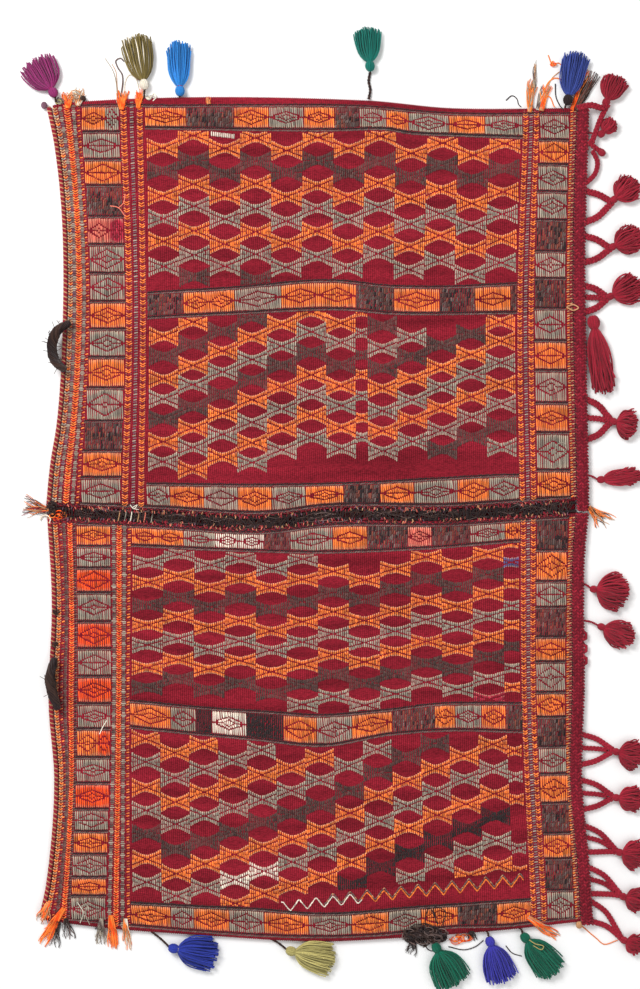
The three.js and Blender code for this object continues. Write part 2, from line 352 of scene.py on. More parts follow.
def wool_material(name, fibre_mm, sheen, fuzz):
    """Spun wool in the colour each yarn was dyed, with streaks of lighter and darker fibre."""
    material, tree, output = new_material(name)
    dye = add(tree, "ShaderNodeAttribute", attribute_name="dye").outputs["Color"]
    place = add(tree, "ShaderNodeTexCoord").outputs["Object"]
    fibre = add(tree, "ShaderNodeTexNoise", {
        "Vector": place, "Scale": 1000 / fibre_mm, "Detail": 3.0, "Roughness": 0.7,
    })
    patch = add(tree, "ShaderNodeTexNoise", {"Vector": place, "Scale": 1000 / 35, "Detail": 2.0})
    streak = add(tree, "ShaderNodeMapRange", {
        "Value": fibre.outputs["Fac"], "From Min": 0.3, "From Max": 0.7, "To Min": 0.72, "To Max": 1.28,
    })
    wear_and_tip_highlight = add(tree, "ShaderNodeMapRange", {
        "Value": patch.outputs["Fac"], "From Min": 0.3, "From Max": 0.7, "To Min": 0.86, "To Max": 1.1,
    })
    both = add(tree, "ShaderNodeMath", {
        0: streak.outputs["Result"], 1: wear_and_tip_highlight.outputs["Result"],
    }, operation="MULTIPLY")
    colour = add(tree, "ShaderNodeVectorMath", {
        "Vector": dye, "Scale": both.outputs["Value"],
    }, operation="SCALE")
    bump = add(tree, "ShaderNodeBump", {
        "Height": fibre.outputs["Fac"], "Strength": fuzz, "Distance": fibre_mm / 2500,
    })
    wool = add(tree, "ShaderNodeBsdfPrincipled", {
        "Base Color": colour.outputs["Vector"], "Roughness": 0.88, "Normal": bump.outputs["Normal"],
        "Sheen Weight": sheen, "Sheen Roughness": 0.45, "Specular IOR Level": 0.15,
    })
    tree.links.new(wool.outputs["BSDF"], output.inputs["Surface"])
    return material


# Soft two-ply wool of the trimmings: dull, a little silky where the light grazes it
tassel_wool = wool_material("two_ply_tassel_wool", 1.1, 0.12, 0.5)
# Coarse goat hair: near-black, wiry, with glossier single hairs
goat_hair = wool_material("spun_goat_hair", 0.6, 0.15, 0.7)

# Name, head, middle of the skirt's end, width of the skirt, and where its loop's two legs leave the side
RED_TASSELS = (
    ("red_tassel_1", (354, 470), (373, 490), 22, ()),
    ("red_tassel_2", (369, 388), (402, 414), 38, (402, 362)),
    ("red_tassel_3", (367, 330), (408, 348), 40, (346, 312)),
    ("red_tassel_4", (364, 268), (408, 286), 42, (284, 250)),
    ("red_tassel_5", (368, 114), (402, 108), 42, (142, 90)),
    ("red_tassel_6", (352, 40), (408, 47), 24, ()),
    ("red_tassel_7", (343, -96), (391, -102), 54, ()),
    ("red_tassel_8", (353, -142), (397, -160), 38, ()),
    ("red_tassel_9", (371, -299), (409, -307), 42, (-278, -317)),
    ("red_tassel_10", (371, -357), (410, -360), 36, (-335, -373)),
    ("red_tassel_11", (375, -425), (410, -431), 42, (-392, -426)),
    ("red_tassel_12", (380, -480), (411, -488), 34, (-444, -478)),
    ("red_tassel_13", (381, -534), (409, -545), 30, (-486, -512)),
)


def mix(a, b, share):
    return a + (b - a) * share


def leg_route(head, y):
    """The way of one leg of a loop, from the side braid to where the legs are gathered."""
    edge = float(outer_right(y))
    tip = (head[0] + 1.0, head[1], PLAIT / 2 + 2)
    return [
        (edge - 6, y, PLAIT / 2 + 1),
        (mix(edge, tip[0], 0.42), mix(y, head[1], 0.3), PLAIT / 2),
        (mix(edge, tip[0], 0.8), mix(y, head[1], 0.72), PLAIT / 2),
    ], tip


loops = {}
for name, head, end, width, ends in RED_TASSELS:
    if not ends:
        continue
    first, tip = leg_route(head, ends[0])
    last, tip = leg_route(head, ends[1])
    full = PLAIT * (1.35 if head[1] > 0 else 1.12)
    braiding = Skein()
    path = plait(braiding, first + [tip] + last[::-1], full, PLAIT * 0.9, "red")
    extra = leg_route(head, sum(ends) / 2 + 2)[0]
    loop = braiding.spin(name + "_loop_plait", tassel_wool)
    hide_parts(name + "_loop")
    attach(loop, "root")
    middle_leg = None
    if abs(ends[0] - ends[1]) > 30 and head[1] < 300:
        third = Skein()
        plait(third, extra, full * 0.9, PLAIT * 0.7, "red")
        middle_leg = third.spin(name + "_middle_plait", tassel_wool)
        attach(middle_leg, "root")
    loops[name] = (loop, path / 1000, middle_leg)

line = Skein()
string_start = (66, float(top_fold(66)) + STRING / 2 + GAP, STRING / 2 + 1)
string_points = [string_start, (68, 529, STRING / 2), (66, 540, STRING / 2), (68, 552 - GAP, STRING / 2)]
string_path = twist(line, string_points, STRING, ("hair", "black"), repeat=8)
string = line.spin("green_tassel_twisted_string", goat_hair)
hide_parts("green_tassel_string")
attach(string, "root")


# ---- The cloth strip ----
# A thick weft-faced strip of madder-red wool. The covered warps stand up as fine ribs along the bag.
# It runs from the upper mouth over the top fold, along the back and up to the lower mouth.

RIB = 2.5  # from one rib to the next, and from one pattern stitch to the next
RIB_RISE = 0.45
FLAT_WIDTH = 0.651  # metres
COLUMNS = 520
FRONT_ROWS, FOLD_ROWS, BACK_ROWS = 14, 5, 8


def cloth_mesh():
    """The strip as one closed shell of two faces, with its flat measure in metres as its UV map."""
    across = np.linspace(0, 1, COLUMNS + 1)
    radius = (SIDE_ROOM + CLOTH) / 2
    front = np.concatenate([np.arange(FRONT_ROWS) / FRONT_ROWS, [0.965, 0.985, 1]])

    def x_at(y):
        return mix(cloth_left(y), cloth_right(y), across)

    halves = []
    for side in (1, -1):
        fold_line, far = (top_fold, 500.0) if side > 0 else (bottom_fold, -500.0)
        fold = fold_line(x_at(far))
        lip = mouth_line(x_at(0.0)) + side * LIP
        start = fold - side * (radius + CLOTH / 2)
        half = []
        for row in front:
            y = mix(lip, start, row)
            x = x_at(y)
            half.append((x, y, cloth_height(x, y) - CLOTH / 2, 0.0, 1.0))
        for row in range(1, FOLD_ROWS + 1):
            turn = row / FOLD_ROWS * math.pi
            y = start + side * radius * math.sin(turn)
            z = np.full_like(y, CLOTH / 2 + radius * (1 + math.cos(turn)))
            half.append((x_at(start), y, z, side * math.sin(turn), math.cos(turn)))
        halves.append((half, start))
    rows = list(halves[0][0])
    for row in range(1, BACK_ROWS):
        y = mix(halves[0][1], halves[1][1], row / BACK_ROWS)
        rows.append((x_at(y), y, np.full_like(y, CLOTH / 2), 0.0, -1.0))
    rows += halves[1][0][::-1]

    rib = RIB_RISE * np.cos(np.arange(COLUMNS + 1) * math.pi)
    rib[[0, -1]] = 0
    shells = []
    for face in (1, -1):
        for x, y, z, out_y, out_z in rows:
            out = face * CLOTH / 2 + (rib if face > 0 else 0)
            above_floor = np.maximum(z + out * out_z, 0.15)
            shells.append(np.stack([x, y + out * out_y, above_floor], axis=1))
    points = np.concatenate(shells) / 1000
    line, count, inner = COLUMNS + 1, len(rows), len(rows) * (COLUMNS + 1)
    faces = []
    for j in range(count - 1):
        for i in range(COLUMNS):
            a = j * line + i
            faces.append((a, a + line, a + line + 1, a + 1)[::-1])
            faces.append((a + inner, a + inner + line, a + inner + line + 1, a + inner + 1))
    for i in range(COLUMNS):
        a, b = i, (count - 1) * line + i
        faces.append((a, a + 1, a + 1 + inner, a + inner)[::-1])
        faces.append((b, b + 1, b + 1 + inner, b + inner))
    for j in range(count - 1):
        a, b = j * line, j * line + COLUMNS
        faces.append((a, a + inner, a + line + inner, a + line)[::-1])
        faces.append((b, b + inner, b + line + inner, b + line))
    mesh = bpy.data.meshes.new("kilim_cloth")
    mesh.from_pydata(points.tolist(), [], faces)
    middle = np.array([(r[0][COLUMNS // 2], r[1][COLUMNS // 2], r[2][COLUMNS // 2]) for r in rows])
    run = distances(middle) / 1000
    flat = np.stack(np.meshgrid(across * FLAT_WIDTH, run), axis=-1).reshape(-1, 2)
    flat = np.concatenate([flat, flat])
    uv = mesh.uv_layers.new(name="flat_cloth")
    corner = np.empty(len(mesh.loops), dtype=np.int32)
    mesh.loops.foreach_get("vertex_index", corner)
    uv.data.foreach_set("uv", flat[corner].ravel())
    mesh.polygons.foreach_set("use_smooth", [True] * len(mesh.polygons))
    return mesh, run[-1]


# Madder-dyed weft over hidden warps, with painted shade and highlight: deep wine red painted in the furrows
# and between the weft's bumps, warmer painted on the rib crests, and slow bands where one dye lot ended and
# the next began
madder_weave, tree, output = new_material("madder_red_weft_weave")
flat = add(tree, "ShaderNodeUVMap", uv_map="flat_cloth").outputs["UV"]
furrow = add(tree, "ShaderNodeTexWave", {"Vector": flat, "Scale": math.pi / 10 / (FLAT_WIDTH / COLUMNS * 2)})
weft_stretch = add(tree, "ShaderNodeMapping", {"Vector": flat, "Scale": (260.0, 900.0, 1.0)})
weft = add(tree, "ShaderNodeTexVoronoi", {
    "Vector": weft_stretch.outputs["Vector"], "Scale": 1.0,
}, feature="F1")
dye_stretch = add(tree, "ShaderNodeMapping", {"Vector": flat, "Scale": (6.0, 55.0, 1.0)})
dye_lot = add(tree, "ShaderNodeTexNoise", {
    "Vector": dye_stretch.outputs["Vector"], "Scale": 1.0, "Detail": 3.0,
})
speck = add(tree, "ShaderNodeTexNoise", {"Vector": flat, "Scale": 900.0, "Detail": 2.0})
lot = add(tree, "ShaderNodeValToRGB", {"Fac": dye_lot.outputs["Fac"]})
for stop, position, code in zip(lot.color_ramp.elements, (0.32, 0.68), ("#7d1a27", "#a32435")):
    stop.position = position
    stop.color = linear(code)
# Painted shade: the weft darkens away from the middle of each bump, and is painted lighter at its middle
shadowed = add(tree, "ShaderNodeMapRange", {
    "Value": weft.outputs["Distance"], "From Min": 0.0, "From Max": 0.9, "To Min": 1.25, "To Max": 0.62,
})
grain = add(tree, "ShaderNodeMapRange", {
    "Value": speck.outputs["Fac"], "From Min": 0.3, "From Max": 0.7, "To Min": 0.82, "To Max": 1.2,
})
# Painted light and shade: lighter on the rib crests, darker in the furrows between them
painted_rib_shade = add(tree, "ShaderNodeMapRange", {"Value": furrow.outputs["Fac"], "To Min": 1.12, "To Max": 0.6})
rib_shade_and_grain = add(tree, "ShaderNodeMath", {
    0: painted_rib_shade.outputs["Result"], 1: grain.outputs["Result"],
}, operation="MULTIPLY")
# Painted shade of furrows and weft bumps, times the real fibre grain
weave_shade_and_grain = add(tree, "ShaderNodeMath", {
    0: shadowed.outputs["Result"], 1: rib_shade_and_grain.outputs["Value"],
}, operation="MULTIPLY")
red = add(tree, "ShaderNodeVectorMath", {
    "Vector": lot.outputs["Color"], "Scale": weave_shade_and_grain.outputs["Value"],
}, operation="SCALE")
bump = add(tree, "ShaderNodeBump", {
    "Height": weft.outputs["Distance"], "Strength": 0.6, "Distance": 0.0005,
}, invert=True)
weave = add(tree, "ShaderNodeBsdfPrincipled", {
    "Base Color": red.outputs["Vector"], "Roughness": 0.92, "Normal": bump.outputs["Normal"],
    "Sheen Weight": 0.06, "Sheen Roughness": 0.5, "Specular IOR Level": 0.1,
})
tree.links.new(weave.outputs["BSDF"], output.inputs["Surface"])

cloth_data, strip_length = cloth_mesh()
cloth_data.materials.append(madder_weave)
cloth = bpy.data.objects.new("kilim_cloth_strip", cloth_data)
bpy.context.scene.collection.objects.link(cloth)
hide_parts("bag_cloth")
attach(cloth, "root")


# ---- Stitches: how the pattern is laid on the cloth ----
# The pattern is supplementary weft: short loops of dyed wool packed side by side over the ribs. Each
# is a small plump form, and a region of the pattern becomes one piece of many such forms.

stitch_rng = np.random.default_rng(23)
THREE_SIDED_WIDER = 1.155  # a three-sided form is narrower than the circle round it by this much


def stitch_tree():
    """Geometry nodes that set one plump stitch, flat underneath, turned and sized, on every point."""
    group = bpy.data.node_groups.new("laid_stitches", "GeometryNodeTree")
    group.interface.new_socket("Places", in_out="INPUT", socket_type="NodeSocketGeometry")
    group.interface.new_socket("Sides", in_out="INPUT", socket_type="NodeSocketInt")
    group.interface.new_socket("Wool", in_out="INPUT", socket_type="NodeSocketMaterial")
    group.interface.new_socket("Stitches", in_out="OUTPUT", socket_type="NodeSocketGeometry")
    given = add(group, "NodeGroupInput").outputs
    grain = add(group, "GeometryNodeMeshUVSphere", {"Segments": given["Sides"], "Rings": 3, "Radius": 1.0})
    spot = add(group, "GeometryNodeInputPosition")
    parts = add(group, "ShaderNodeSeparateXYZ", {"Vector": spot.outputs["Position"]})
    longer = add(group, "ShaderNodeMath", {0: parts.outputs["Z"], 1: 1.62}, operation="MULTIPLY")
    ended = add(group, "ShaderNodeClamp", {"Value": longer.outputs["Value"], "Min": -1.0, "Max": 1.0})
    across = add(group, "ShaderNodeMath", {0: parts.outputs["Y"], 1: -1.0}, operation="MULTIPLY")
    flat = add(group, "ShaderNodeMath", {0: parts.outputs["X"], 1: -0.25}, operation="MAXIMUM")
    blunt = add(group, "ShaderNodeCombineXYZ", {
        "X": across.outputs["Value"], "Y": flat.outputs["Value"], "Z": ended.outputs["Result"],
    })
    plump = add(group, "GeometryNodeSetPosition", {
        "Geometry": grain.outputs["Mesh"], "Position": blunt.outputs["Vector"],
    })
    marked = add(group, "GeometryNodeStoreNamedAttribute", {
        "Geometry": plump.outputs["Geometry"], "Name": "along", "Value": parts.outputs["Z"],
    }, data_type="FLOAT", domain="POINT")
    turn = add(group, "GeometryNodeInputNamedAttribute", {"Name": "turn"}, data_type="FLOAT_VECTOR")
    size = add(group, "GeometryNodeInputNamedAttribute", {"Name": "size"}, data_type="FLOAT_VECTOR")
    laid = add(group, "GeometryNodeInstanceOnPoints", {
        "Points": given["Places"], "Instance": marked.outputs["Geometry"],
        "Rotation": turn.outputs["Attribute"], "Scale": size.outputs["Attribute"],
    })
    whole = add(group, "GeometryNodeRealizeInstances", {"Geometry": laid.outputs["Instances"]})
    smooth = add(group, "GeometryNodeSetShadeSmooth", {"Geometry": whole.outputs["Geometry"]})
    dyed = add(group, "GeometryNodeSetMaterial", {
        "Geometry": smooth.outputs["Geometry"], "Material": given["Wool"],
    })
    output = add(group, "NodeGroupOutput")
    group.links.new(dyed.outputs["Geometry"], output.inputs["Stitches"])
    return group


laid_stitches = stitch_tree()


class Stitching:
    """The stitches of one region, each from one end to the other in millimetres on the cloth."""

    def __init__(self):
        self.rows = []

    def lay(self, x0, y0, x1, y1, wide, dye, tip=0.0, lift=0.35, high=1.0):
        # A tip above nought paints the stitch's far end pale, a painted highlight
        self.rows.append((x0, y0, x1, y1, wide, high, lift, tip, dye))

    def sew(self, name, wool, height=cloth_height, sides=3):
        """Turns the stitches into one piece that rides on the bag."""
        dyes = sorted({row[-1] for row in self.rows})
        shades = np.array([linear(DYES.get(dye, dye)) for dye in dyes])
        which = np.array([dyes.index(row[-1]) for row in self.rows])
        x0, y0, x1, y1, wide, high, lift, tip = np.array([row[:-1] for row in self.rows], float).T
        x0, y0, x1, y1 = (v + stitch_rng.normal(0, 0.22, len(v)) for v in (x0, y0, x1, y1))
        z0, z1 = height(x0, y0) + lift, height(x1, y1) + lift
        span = np.stack([x1 - x0, y1 - y0, z1 - z0], axis=1)
        length = np.linalg.norm(span, axis=1)
        middle = np.stack([x0 + x1, y0 + y1, z0 + z1], axis=1) / 2
        lean = np.arccos(np.clip(span[:, 2] / length, -1, 1))
        turn = np.stack([lean, np.zeros_like(lean), np.arctan2(span[:, 0], -span[:, 1])], axis=1)
        plump = stitch_rng.uniform(0.85, 1.12, len(length))
        wide = wide * (THREE_SIDED_WIDER if sides == 3 else 1.0)
        size = np.stack([wide * plump, high * 2 * plump, length + 0.4], axis=1) / 2000
        colour = shades[which]
        colour[:, :3] *= stitch_rng.normal(1, 0.2, len(length)).clip(0.5, 1.5)[:, None]
        source = bpy.data.meshes.new(name + "_places")
        source.from_pydata((middle / 1000).tolist(), [], [])
        for label, kind, field, values in (
            ("turn", "FLOAT_VECTOR", "vector", turn), ("size", "FLOAT_VECTOR", "vector", size),
            ("dye", "FLOAT_COLOR", "color", colour), ("tip", "FLOAT", "value", tip),
        ):
            source.attributes.new(label, kind, "POINT").data.foreach_set(field, np.ravel(values))
        piece = grown(name, source, laid_stitches, {"Sides": sides, "Wool": wool})
        for label in ("turn", "size"):
            if label in piece.data.attributes:
                piece.data.attributes.remove(piece.data.attributes[label])
        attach(piece, "root")
        return piece


# Handspun pattern wool: matt, with a painted highlight that makes the tips pale where a loop turns into the
# cloth
pattern_wool, tree, output = new_material("handspun_pattern_wool")
dye = add(tree, "ShaderNodeAttribute", attribute_name="dye").outputs["Color"]
along = add(tree, "ShaderNodeAttribute", attribute_name="along").outputs["Fac"]
tip = add(tree, "ShaderNodeAttribute", attribute_name="tip").outputs["Fac"]
place = add(tree, "ShaderNodeTexCoord").outputs["Object"]
fibre = add(tree, "ShaderNodeTexNoise", {"Vector": place, "Scale": 1400.0, "Detail": 3.0, "Roughness": 0.7})
patch = add(tree, "ShaderNodeTexNoise", {"Vector": place, "Scale": 34.0, "Detail": 3.0})
streak = add(tree, "ShaderNodeMapRange", {
    "Value": fibre.outputs["Fac"], "From Min": 0.3, "From Max": 0.7, "To Min": 0.74, "To Max": 1.26,
})
faded = add(tree, "ShaderNodeMapRange", {
    "Value": patch.outputs["Fac"], "From Min": 0.35, "From Max": 0.65, "To Min": 0.88, "To Max": 1.1,
})
both = add(tree, "ShaderNodeMath", {
    0: streak.outputs["Result"], 1: faded.outputs["Result"],
}, operation="MULTIPLY")
deep = add(tree, "ShaderNodeVectorMath", {"Vector": dye, "Scale": both.outputs["Value"]}, operation="SCALE")
# Painted highlight: the far end of a stitch is mixed toward pale peach by its tip share
outer = add(tree, "ShaderNodeMapRange", {"Value": along, "From Min": 0.1, "From Max": 0.9})
painted_tip_highlight = add(tree, "ShaderNodeMath", {0: outer.outputs["Result"], 1: tip}, operation="MULTIPLY")
wear_and_tip_highlight = add(tree, "ShaderNodeMix", {
    "Factor": painted_tip_highlight.outputs["Value"], "A": deep.outputs["Vector"], "B": linear("#ffd9b8"),
}, data_type="RGBA")
bump = add(tree, "ShaderNodeBump", {"Height": fibre.outputs["Fac"], "Strength": 0.5, "Distance": 0.0004})
wool = add(tree, "ShaderNodeBsdfPrincipled", {
    "Base Color": wear_and_tip_highlight.outputs["Result"], "Roughness": 0.85, "Normal": bump.outputs["Normal"],
    "Sheen Weight": 0.1, "Sheen Roughness": 0.5, "Specular IOR Level": 0.15,
})
tree.links.new(wool.outputs["BSDF"], output.inputs["Surface"])

# Upright lines of the layout, at the mouth, half way and at the fold: edge of the side stripes, both
# sides of the cell column, the field, and the same on the right
UPRIGHTS = {
    1: ((-295, -282.5, -294), (-244, -237.5, -246), (-212, -210.6, -214),
        (254, 250.6, 259), (276, 272.5, 280), (319, 312.5, 317.5)),
    -1: ((-300, -298, -307), (-256, -255.6, -262.5), (-230, -232.5, -231),
         (255, 257.5, 268.75), (275, 275, 289), (316, 312.5, 324)),
}
CELLS_L, CELLS_L2, FIELD_L, FIELD_R, CELLS_R, CELLS_R2 = range(1, 7)


def upright_lines(side):
    inner = [smooth_line(*sorted(zip((0, side * 255, side * 507), places))) for places in UPRIGHTS[side]]
    return [cloth_left] + inner + [cloth_right]


uprights = {side: upright_lines(side) for side in (1, -1)}


def x_on(side, line, y):
    """Place across the bag of a line of the layout, or of a share of the way to the next line."""
    lines, whole = uprights[side], min(int(line), 6)
    return float(mix(lines[whole](y), lines[whole + 1](y), line - whole))


def mouth_edge(side, away):
    return lambda x: mouth_line(x) + side * away


LEVELS = {
    "upper lip": mouth_edge(1, 12.5),
    "upper lower": smooth_line((-214, 35), (-80, 33.5), (30, 35.3), (230, 45.8)),
    "upper middle low": smooth_line((-214, 242.5), (-106, 248), (35, 253.5), (91, 248.5), (250, 249)),
    "upper middle high": smooth_line(
        (-214, 273), (-106, 279.5), (21, 288.8), (91, 282), (165, 281), (250, 285)),
    "upper high": smooth_line((-214, 479.6), (21, 477), (91, 478), (115, 473.8), (181, 470.6), (254, 468)),
    "upper top": smooth_line((-330, 506), (-250, 509), (-205, 508), (60, 507), (160, 498.5), (320, 498)),
    "lower lip": mouth_edge(-1, 12.5),
    "lower high": smooth_line((-226, -41.8), (-124, -46.5), (-59, -48.8), (6, -50), (142, -44.5), (248, -36)),
    "lower middle high": smooth_line(
        (-232, -236), (-124, -246), (-59, -250), (6, -254), (92, -247), (158, -239.5), (248, -239)),
    "lower middle low": smooth_line(
        (-232, -268), (-157, -276), (-75, -283.5), (11, -291), (90, -277.5), (169, -272), (253, -274)),
    "lower low": smooth_line((-231, -488), (-157, -492), (-75, -496), (6, -502), (134, -493), (266, -484)),
    "lower bottom": smooth_line(
        (-340, -505), (-226, -517.5), (-20, -531), (80, -528.5), (167, -519), (230, -517.5), (325, -507)),
}


# ---- Fields of bow-ties ----
# Each field is columns of bow-ties, where two thin furrows cross and the wool is packed beside them.
# Neighbouring columns are set a step up or down, so the arms join into long slanting lattices.

GAP_LINE = 0.75  # half the width of a furrow between stitches
ZIGZAG_START = -42  # across the bag, where the zigzag under the lowest field begins
ZIGZAG_STITCHES = 172
ZIGZAG_PITCH = 1.757
ZIGZAG_RISE = 14


def bow_tie(work, side, left, right, y_mid, step, dye, below, above):
    """One bow-tie between two upright lines, cut off at the field's lower and upper edge."""
    plain = dye in ("brown", "black")
    gap = 0.1 if plain else GAP_LINE
    x_left, x_right = x_on(side, left, y_mid), x_on(side, right, y_mid)
    count = max(2, round((x_right - x_left) / RIB))
    for k in range(count):
        share = (k + 0.5) / count * 2 - 1
        x = mix(x_left, x_right, (k + 0.5) / count)
        low, high = below(x) + 3, above(x) - 3
        arm = abs(share) * step / 2
        rim = math.hypot(arm * 1.6, 5.3)
        runs = [(arm + gap, rim, 0.55), (-arm - gap, -rim, 0.55)]
        if arm > 3.4 + gap:
            runs += [(0.3, arm - gap, 0.25), (-0.3, gap - arm, 0.25)]
        elif arm > gap + 0.7:
            runs.append((-arm + gap, arm - gap, 0.0))
        for start, end, tip in runs:
            a, b = np.clip([y_mid + start, y_mid + end], low, high)
            if abs(b - a) > 1.0:
                work.lay(x, a, x, b, RIB * 0.98, dye, tip=0.0 if plain else tip)


def over_zigzag(x):
    """The lower edge of the lowest field: its twined line, then the peaks of the zigzag beside it."""
    return np.where(x < -46, LEVELS["lower low"](x), mix(-483.0, -450.0, (x - ZIGZAG_START) / 302))


def field(work, side, bottom, top, columns, narrow, first, spacing, step, offsets, rows):
    """Fills a field. A narrow column may stand among the others, as (before which column, its width)."""
    below, above = LEVELS[bottom], LEVELS[top]
    if bottom == "lower low":
        below = over_zigzag
    widths = [1.0] * columns
    labels = list(range(columns))
    if narrow:
        widths.insert(narrow[0], narrow[1])
        labels.insert(narrow[0], narrow[0] - 0.5)
    edges = FIELD_L + 0.004 + np.cumsum([0] + widths) / sum(widths) * 0.992
    for row, (dye, begin, end, *others) in enumerate(rows):
        for k, label in enumerate(labels):
            if not begin <= label <= end:
                continue
            own = next((other[0] for other in others if label in other[1:]), dye)
            if own == "none":
                continue
            x_mid = x_on(side, (edges[k] + edges[k + 1]) / 2, float(above(0)) - 100)
            y_mid = float(above(x_mid)) - first - spacing * row + step * offsets[k]
            y_mid += 1.2 * math.sin(row * 2.1 + k * 1.3)
            if y_mid - 14 > above(x_mid) or y_mid + 14 < below(x_mid):
                continue
            bow_tie(work, side, edges[k], edges[k + 1], y_mid, step * widths[k], own, below, above)


work = Stitching()
zigzag = [0, 1] * 6
field(work, 1, "upper middle high", "upper high", 12, None, 25, 29.4, 15, zigzag, [
    ("orange", 0, 11), ("brown", 0, 11), ("orange", 0, 11), ("grey", 0, 11), ("orange", 0, 11),
    ("grey", 0, 11), ("brown", 0, 3, ("none", 0, 2)),
])
for k in range(12):
    work.lay(-130 + k * 2.5, 475 - k * 0.3, -130 + k * 2.5, 469.5 - k * 0.3, 2.2, "cream")
work.sew("upper_high_field", pattern_wool)

work = Stitching()
climb = [0, 1, 2, 3, 4, 5, 4, 5, 4, 5, 6, 7, 8]
field(work, 1, "upper lower", "upper middle low", 12, (7, 0.4), 24.4, 26.1, 14.8, climb, [
    ("orange", 0, 1), ("brown", 0, 3), ("orange", 0, 7, ("brown", 7)), ("grey", 0, 8),
    ("brown", 0, 11, ("orange", 11)), ("orange", 0, 11), ("grey", 0, 11), ("orange", 1, 11), ("grey", 3, 11),
    ("brown", 9, 11), ("grey", 11, 11),
])
work.sew("upper_low_field", pattern_wool)

work = Stitching()
rise = [0, 1, 0, 1, 0, 1, 2, 1, 2, 3, 2, 3, 4]
field(work, -1, "lower middle high", "lower high", 12, (12, 0.5), 20.6, 26, 11.3, rise, [
    ("grey", 0, 5), ("orange", 0, 12), ("brown", 0, 12, ("slate", 11.5)), ("orange", 0, 12), ("grey", 0, 12),
    ("orange", 0, 12), ("brown", 0, 12), ("grey", 5, 12), ("orange", 11, 12, ("crimson", 11)),
])
work.sew("lower_high_field", pattern_wool)

work = Stitching()
descend = [0, -1, 0, 1, 2, 3, 4, 5, 6, 7, 8, 9, 10, 9.5]
field(work, -1, "lower low", "lower middle low", 13, (13, 0.5), 13, 29.8, 14.4, descend, [
    ("orange", 0, 2), ("grey", 0, 4), ("orange", 0, 6), ("grey", 0, 8), ("brown", 0, 10), ("orange", 0, 13),
    ("grey", 0, 13, ("cream", 3, 4)), ("orange", 3, 13), ("black", 7, 12), ("grey", 9, 13),
    ("orange", 11, 13),
])
for k in range(ZIGZAG_STITCHES):
    x = ZIGZAG_START + k * ZIGZAG_PITCH
    foot = mix(-499.5, -467, k / ZIGZAG_STITCHES)
    here, there = (foot + abs(((x + dx) / 10.6) % 2 - 1) * ZIGZAG_RISE for dx in (-0.9, 0.9))
    work.lay(x - 0.9, here, x + 0.9, there, 2.1, "cream" if x < 58 else "orange")
    if x > 10:
        work.lay(x - 0.9, here + 3.2, x + 0.9, there + 3.2, 1.9, "dusk" if k % 4 else "tan")
work.sew("lower_low_field", pattern_wool)


# ---- Bands and columns of cells ----
# Rows of blocks in turning colours frame the fields. In each block the upright stitches part along
# thin furrows, which draw a chain of diamonds with a small one inside. Brown blocks are left plain.

LETTERS = {
    "O": "orange", "B": "brown", "G": "grey", "W": "cream",
    "P": "pink", "R": "flame", "K": "black", "C": "crimson",
}
BROWN_FLOCKS = ("brown", "brown", "dusk", "brown", "black", "rust")
DIAMOND = 40.0  # length of one diamond of a chain


def cell(work, x_left, x_right, low, high, dye, tall=0.34):
    """One block: upright stitches between two edges, parted where the diamonds' lines pass."""
    plain = dye in ("brown", "black")
    width = x_right - x_left
    count = max(3, round(width / RIB))
    repeats = max(1, round(width / DIAMOND))
    eye = stitch_rng.choice((0.0, 0.22, 0.3, 0.36))
    tall *= stitch_rng.uniform(0.72, 1.12)
    lean = stitch_rng.uniform(0.2, 0.7)
    for k in range(count):
        x = x_left + (k + 0.5) * width / count
        y0, y1 = low(x), high(x)
        mid, full = (y0 + y1) / 2, y1 - y0
        beat = abs(((k + 0.5) / count * repeats) % 1 * 2 - 1)
        outer = (1 - beat) * full * tall
        inner = max(0.0, eye - beat) * full * 0.42
        cuts = [0.5 * full]
        if plain:
            marks = np.linspace(-0.5, 0.5, max(4, round(full / 5.5)) + 1)
            marks[1:-1] += stitch_rng.uniform(-0.07, 0.07, len(marks) - 2)
            for a, b in zip(marks, marks[1:]):
                flock = dye if dye == "black" else BROWN_FLOCKS[stitch_rng.integers(6)]
                work.lay(x - 0.3, mid + a * full, x + 0.3, mid + b * full, RIB * 1.05, flock)
            continue
        if outer > 1.6:
            cuts.append(outer)
        if inner > 1.2:
            cuts.append(inner)
        cuts.append(0.0 if len(cuts) < 3 else -inner)
        for top, bottom in zip(cuts, cuts[1:]):
            for sign in (1, -1):
                start = bottom + (GAP_LINE if bottom > -0.1 or len(cuts) < 4 else 0)
                if bottom < -0.1:
                    if sign > 0:
                        work.lay(x, mid - top + GAP_LINE, x, mid + top - GAP_LINE, RIB, dye)
                    continue
                end = top - (0 if top == cuts[0] else GAP_LINE)
                if end - start > 1.0:
                    edge = 0.3 if top == cuts[0] else 0.0
                    work.lay(x + sign * lean / 2, mid + sign * start, x - sign * lean / 2, mid + sign * end,
                             RIB * 0.98, dye, tip=edge)


def band(work, side, bottom, top, order):
    """A row of blocks across the field. The order gives each block's colour letter and width."""
    blocks = [(LETTERS[item[0]], float(item[1:])) for item in order.split()]
    total, run = sum(block[1] for block in blocks), 0.0
    below, above = LEVELS[bottom], LEVELS[top]
    for dye, width in blocks:
        y = float(below(0) + above(0)) / 2
        x_left = x_on(side, FIELD_L + run / total, y)
        run += width
        x_right = x_on(side, FIELD_L + run / total, y)
        cell(work, x_left + 0.3, x_right - 0.3, lambda x: below(x) + 2.6, lambda x: above(x) - 2.6, dye)


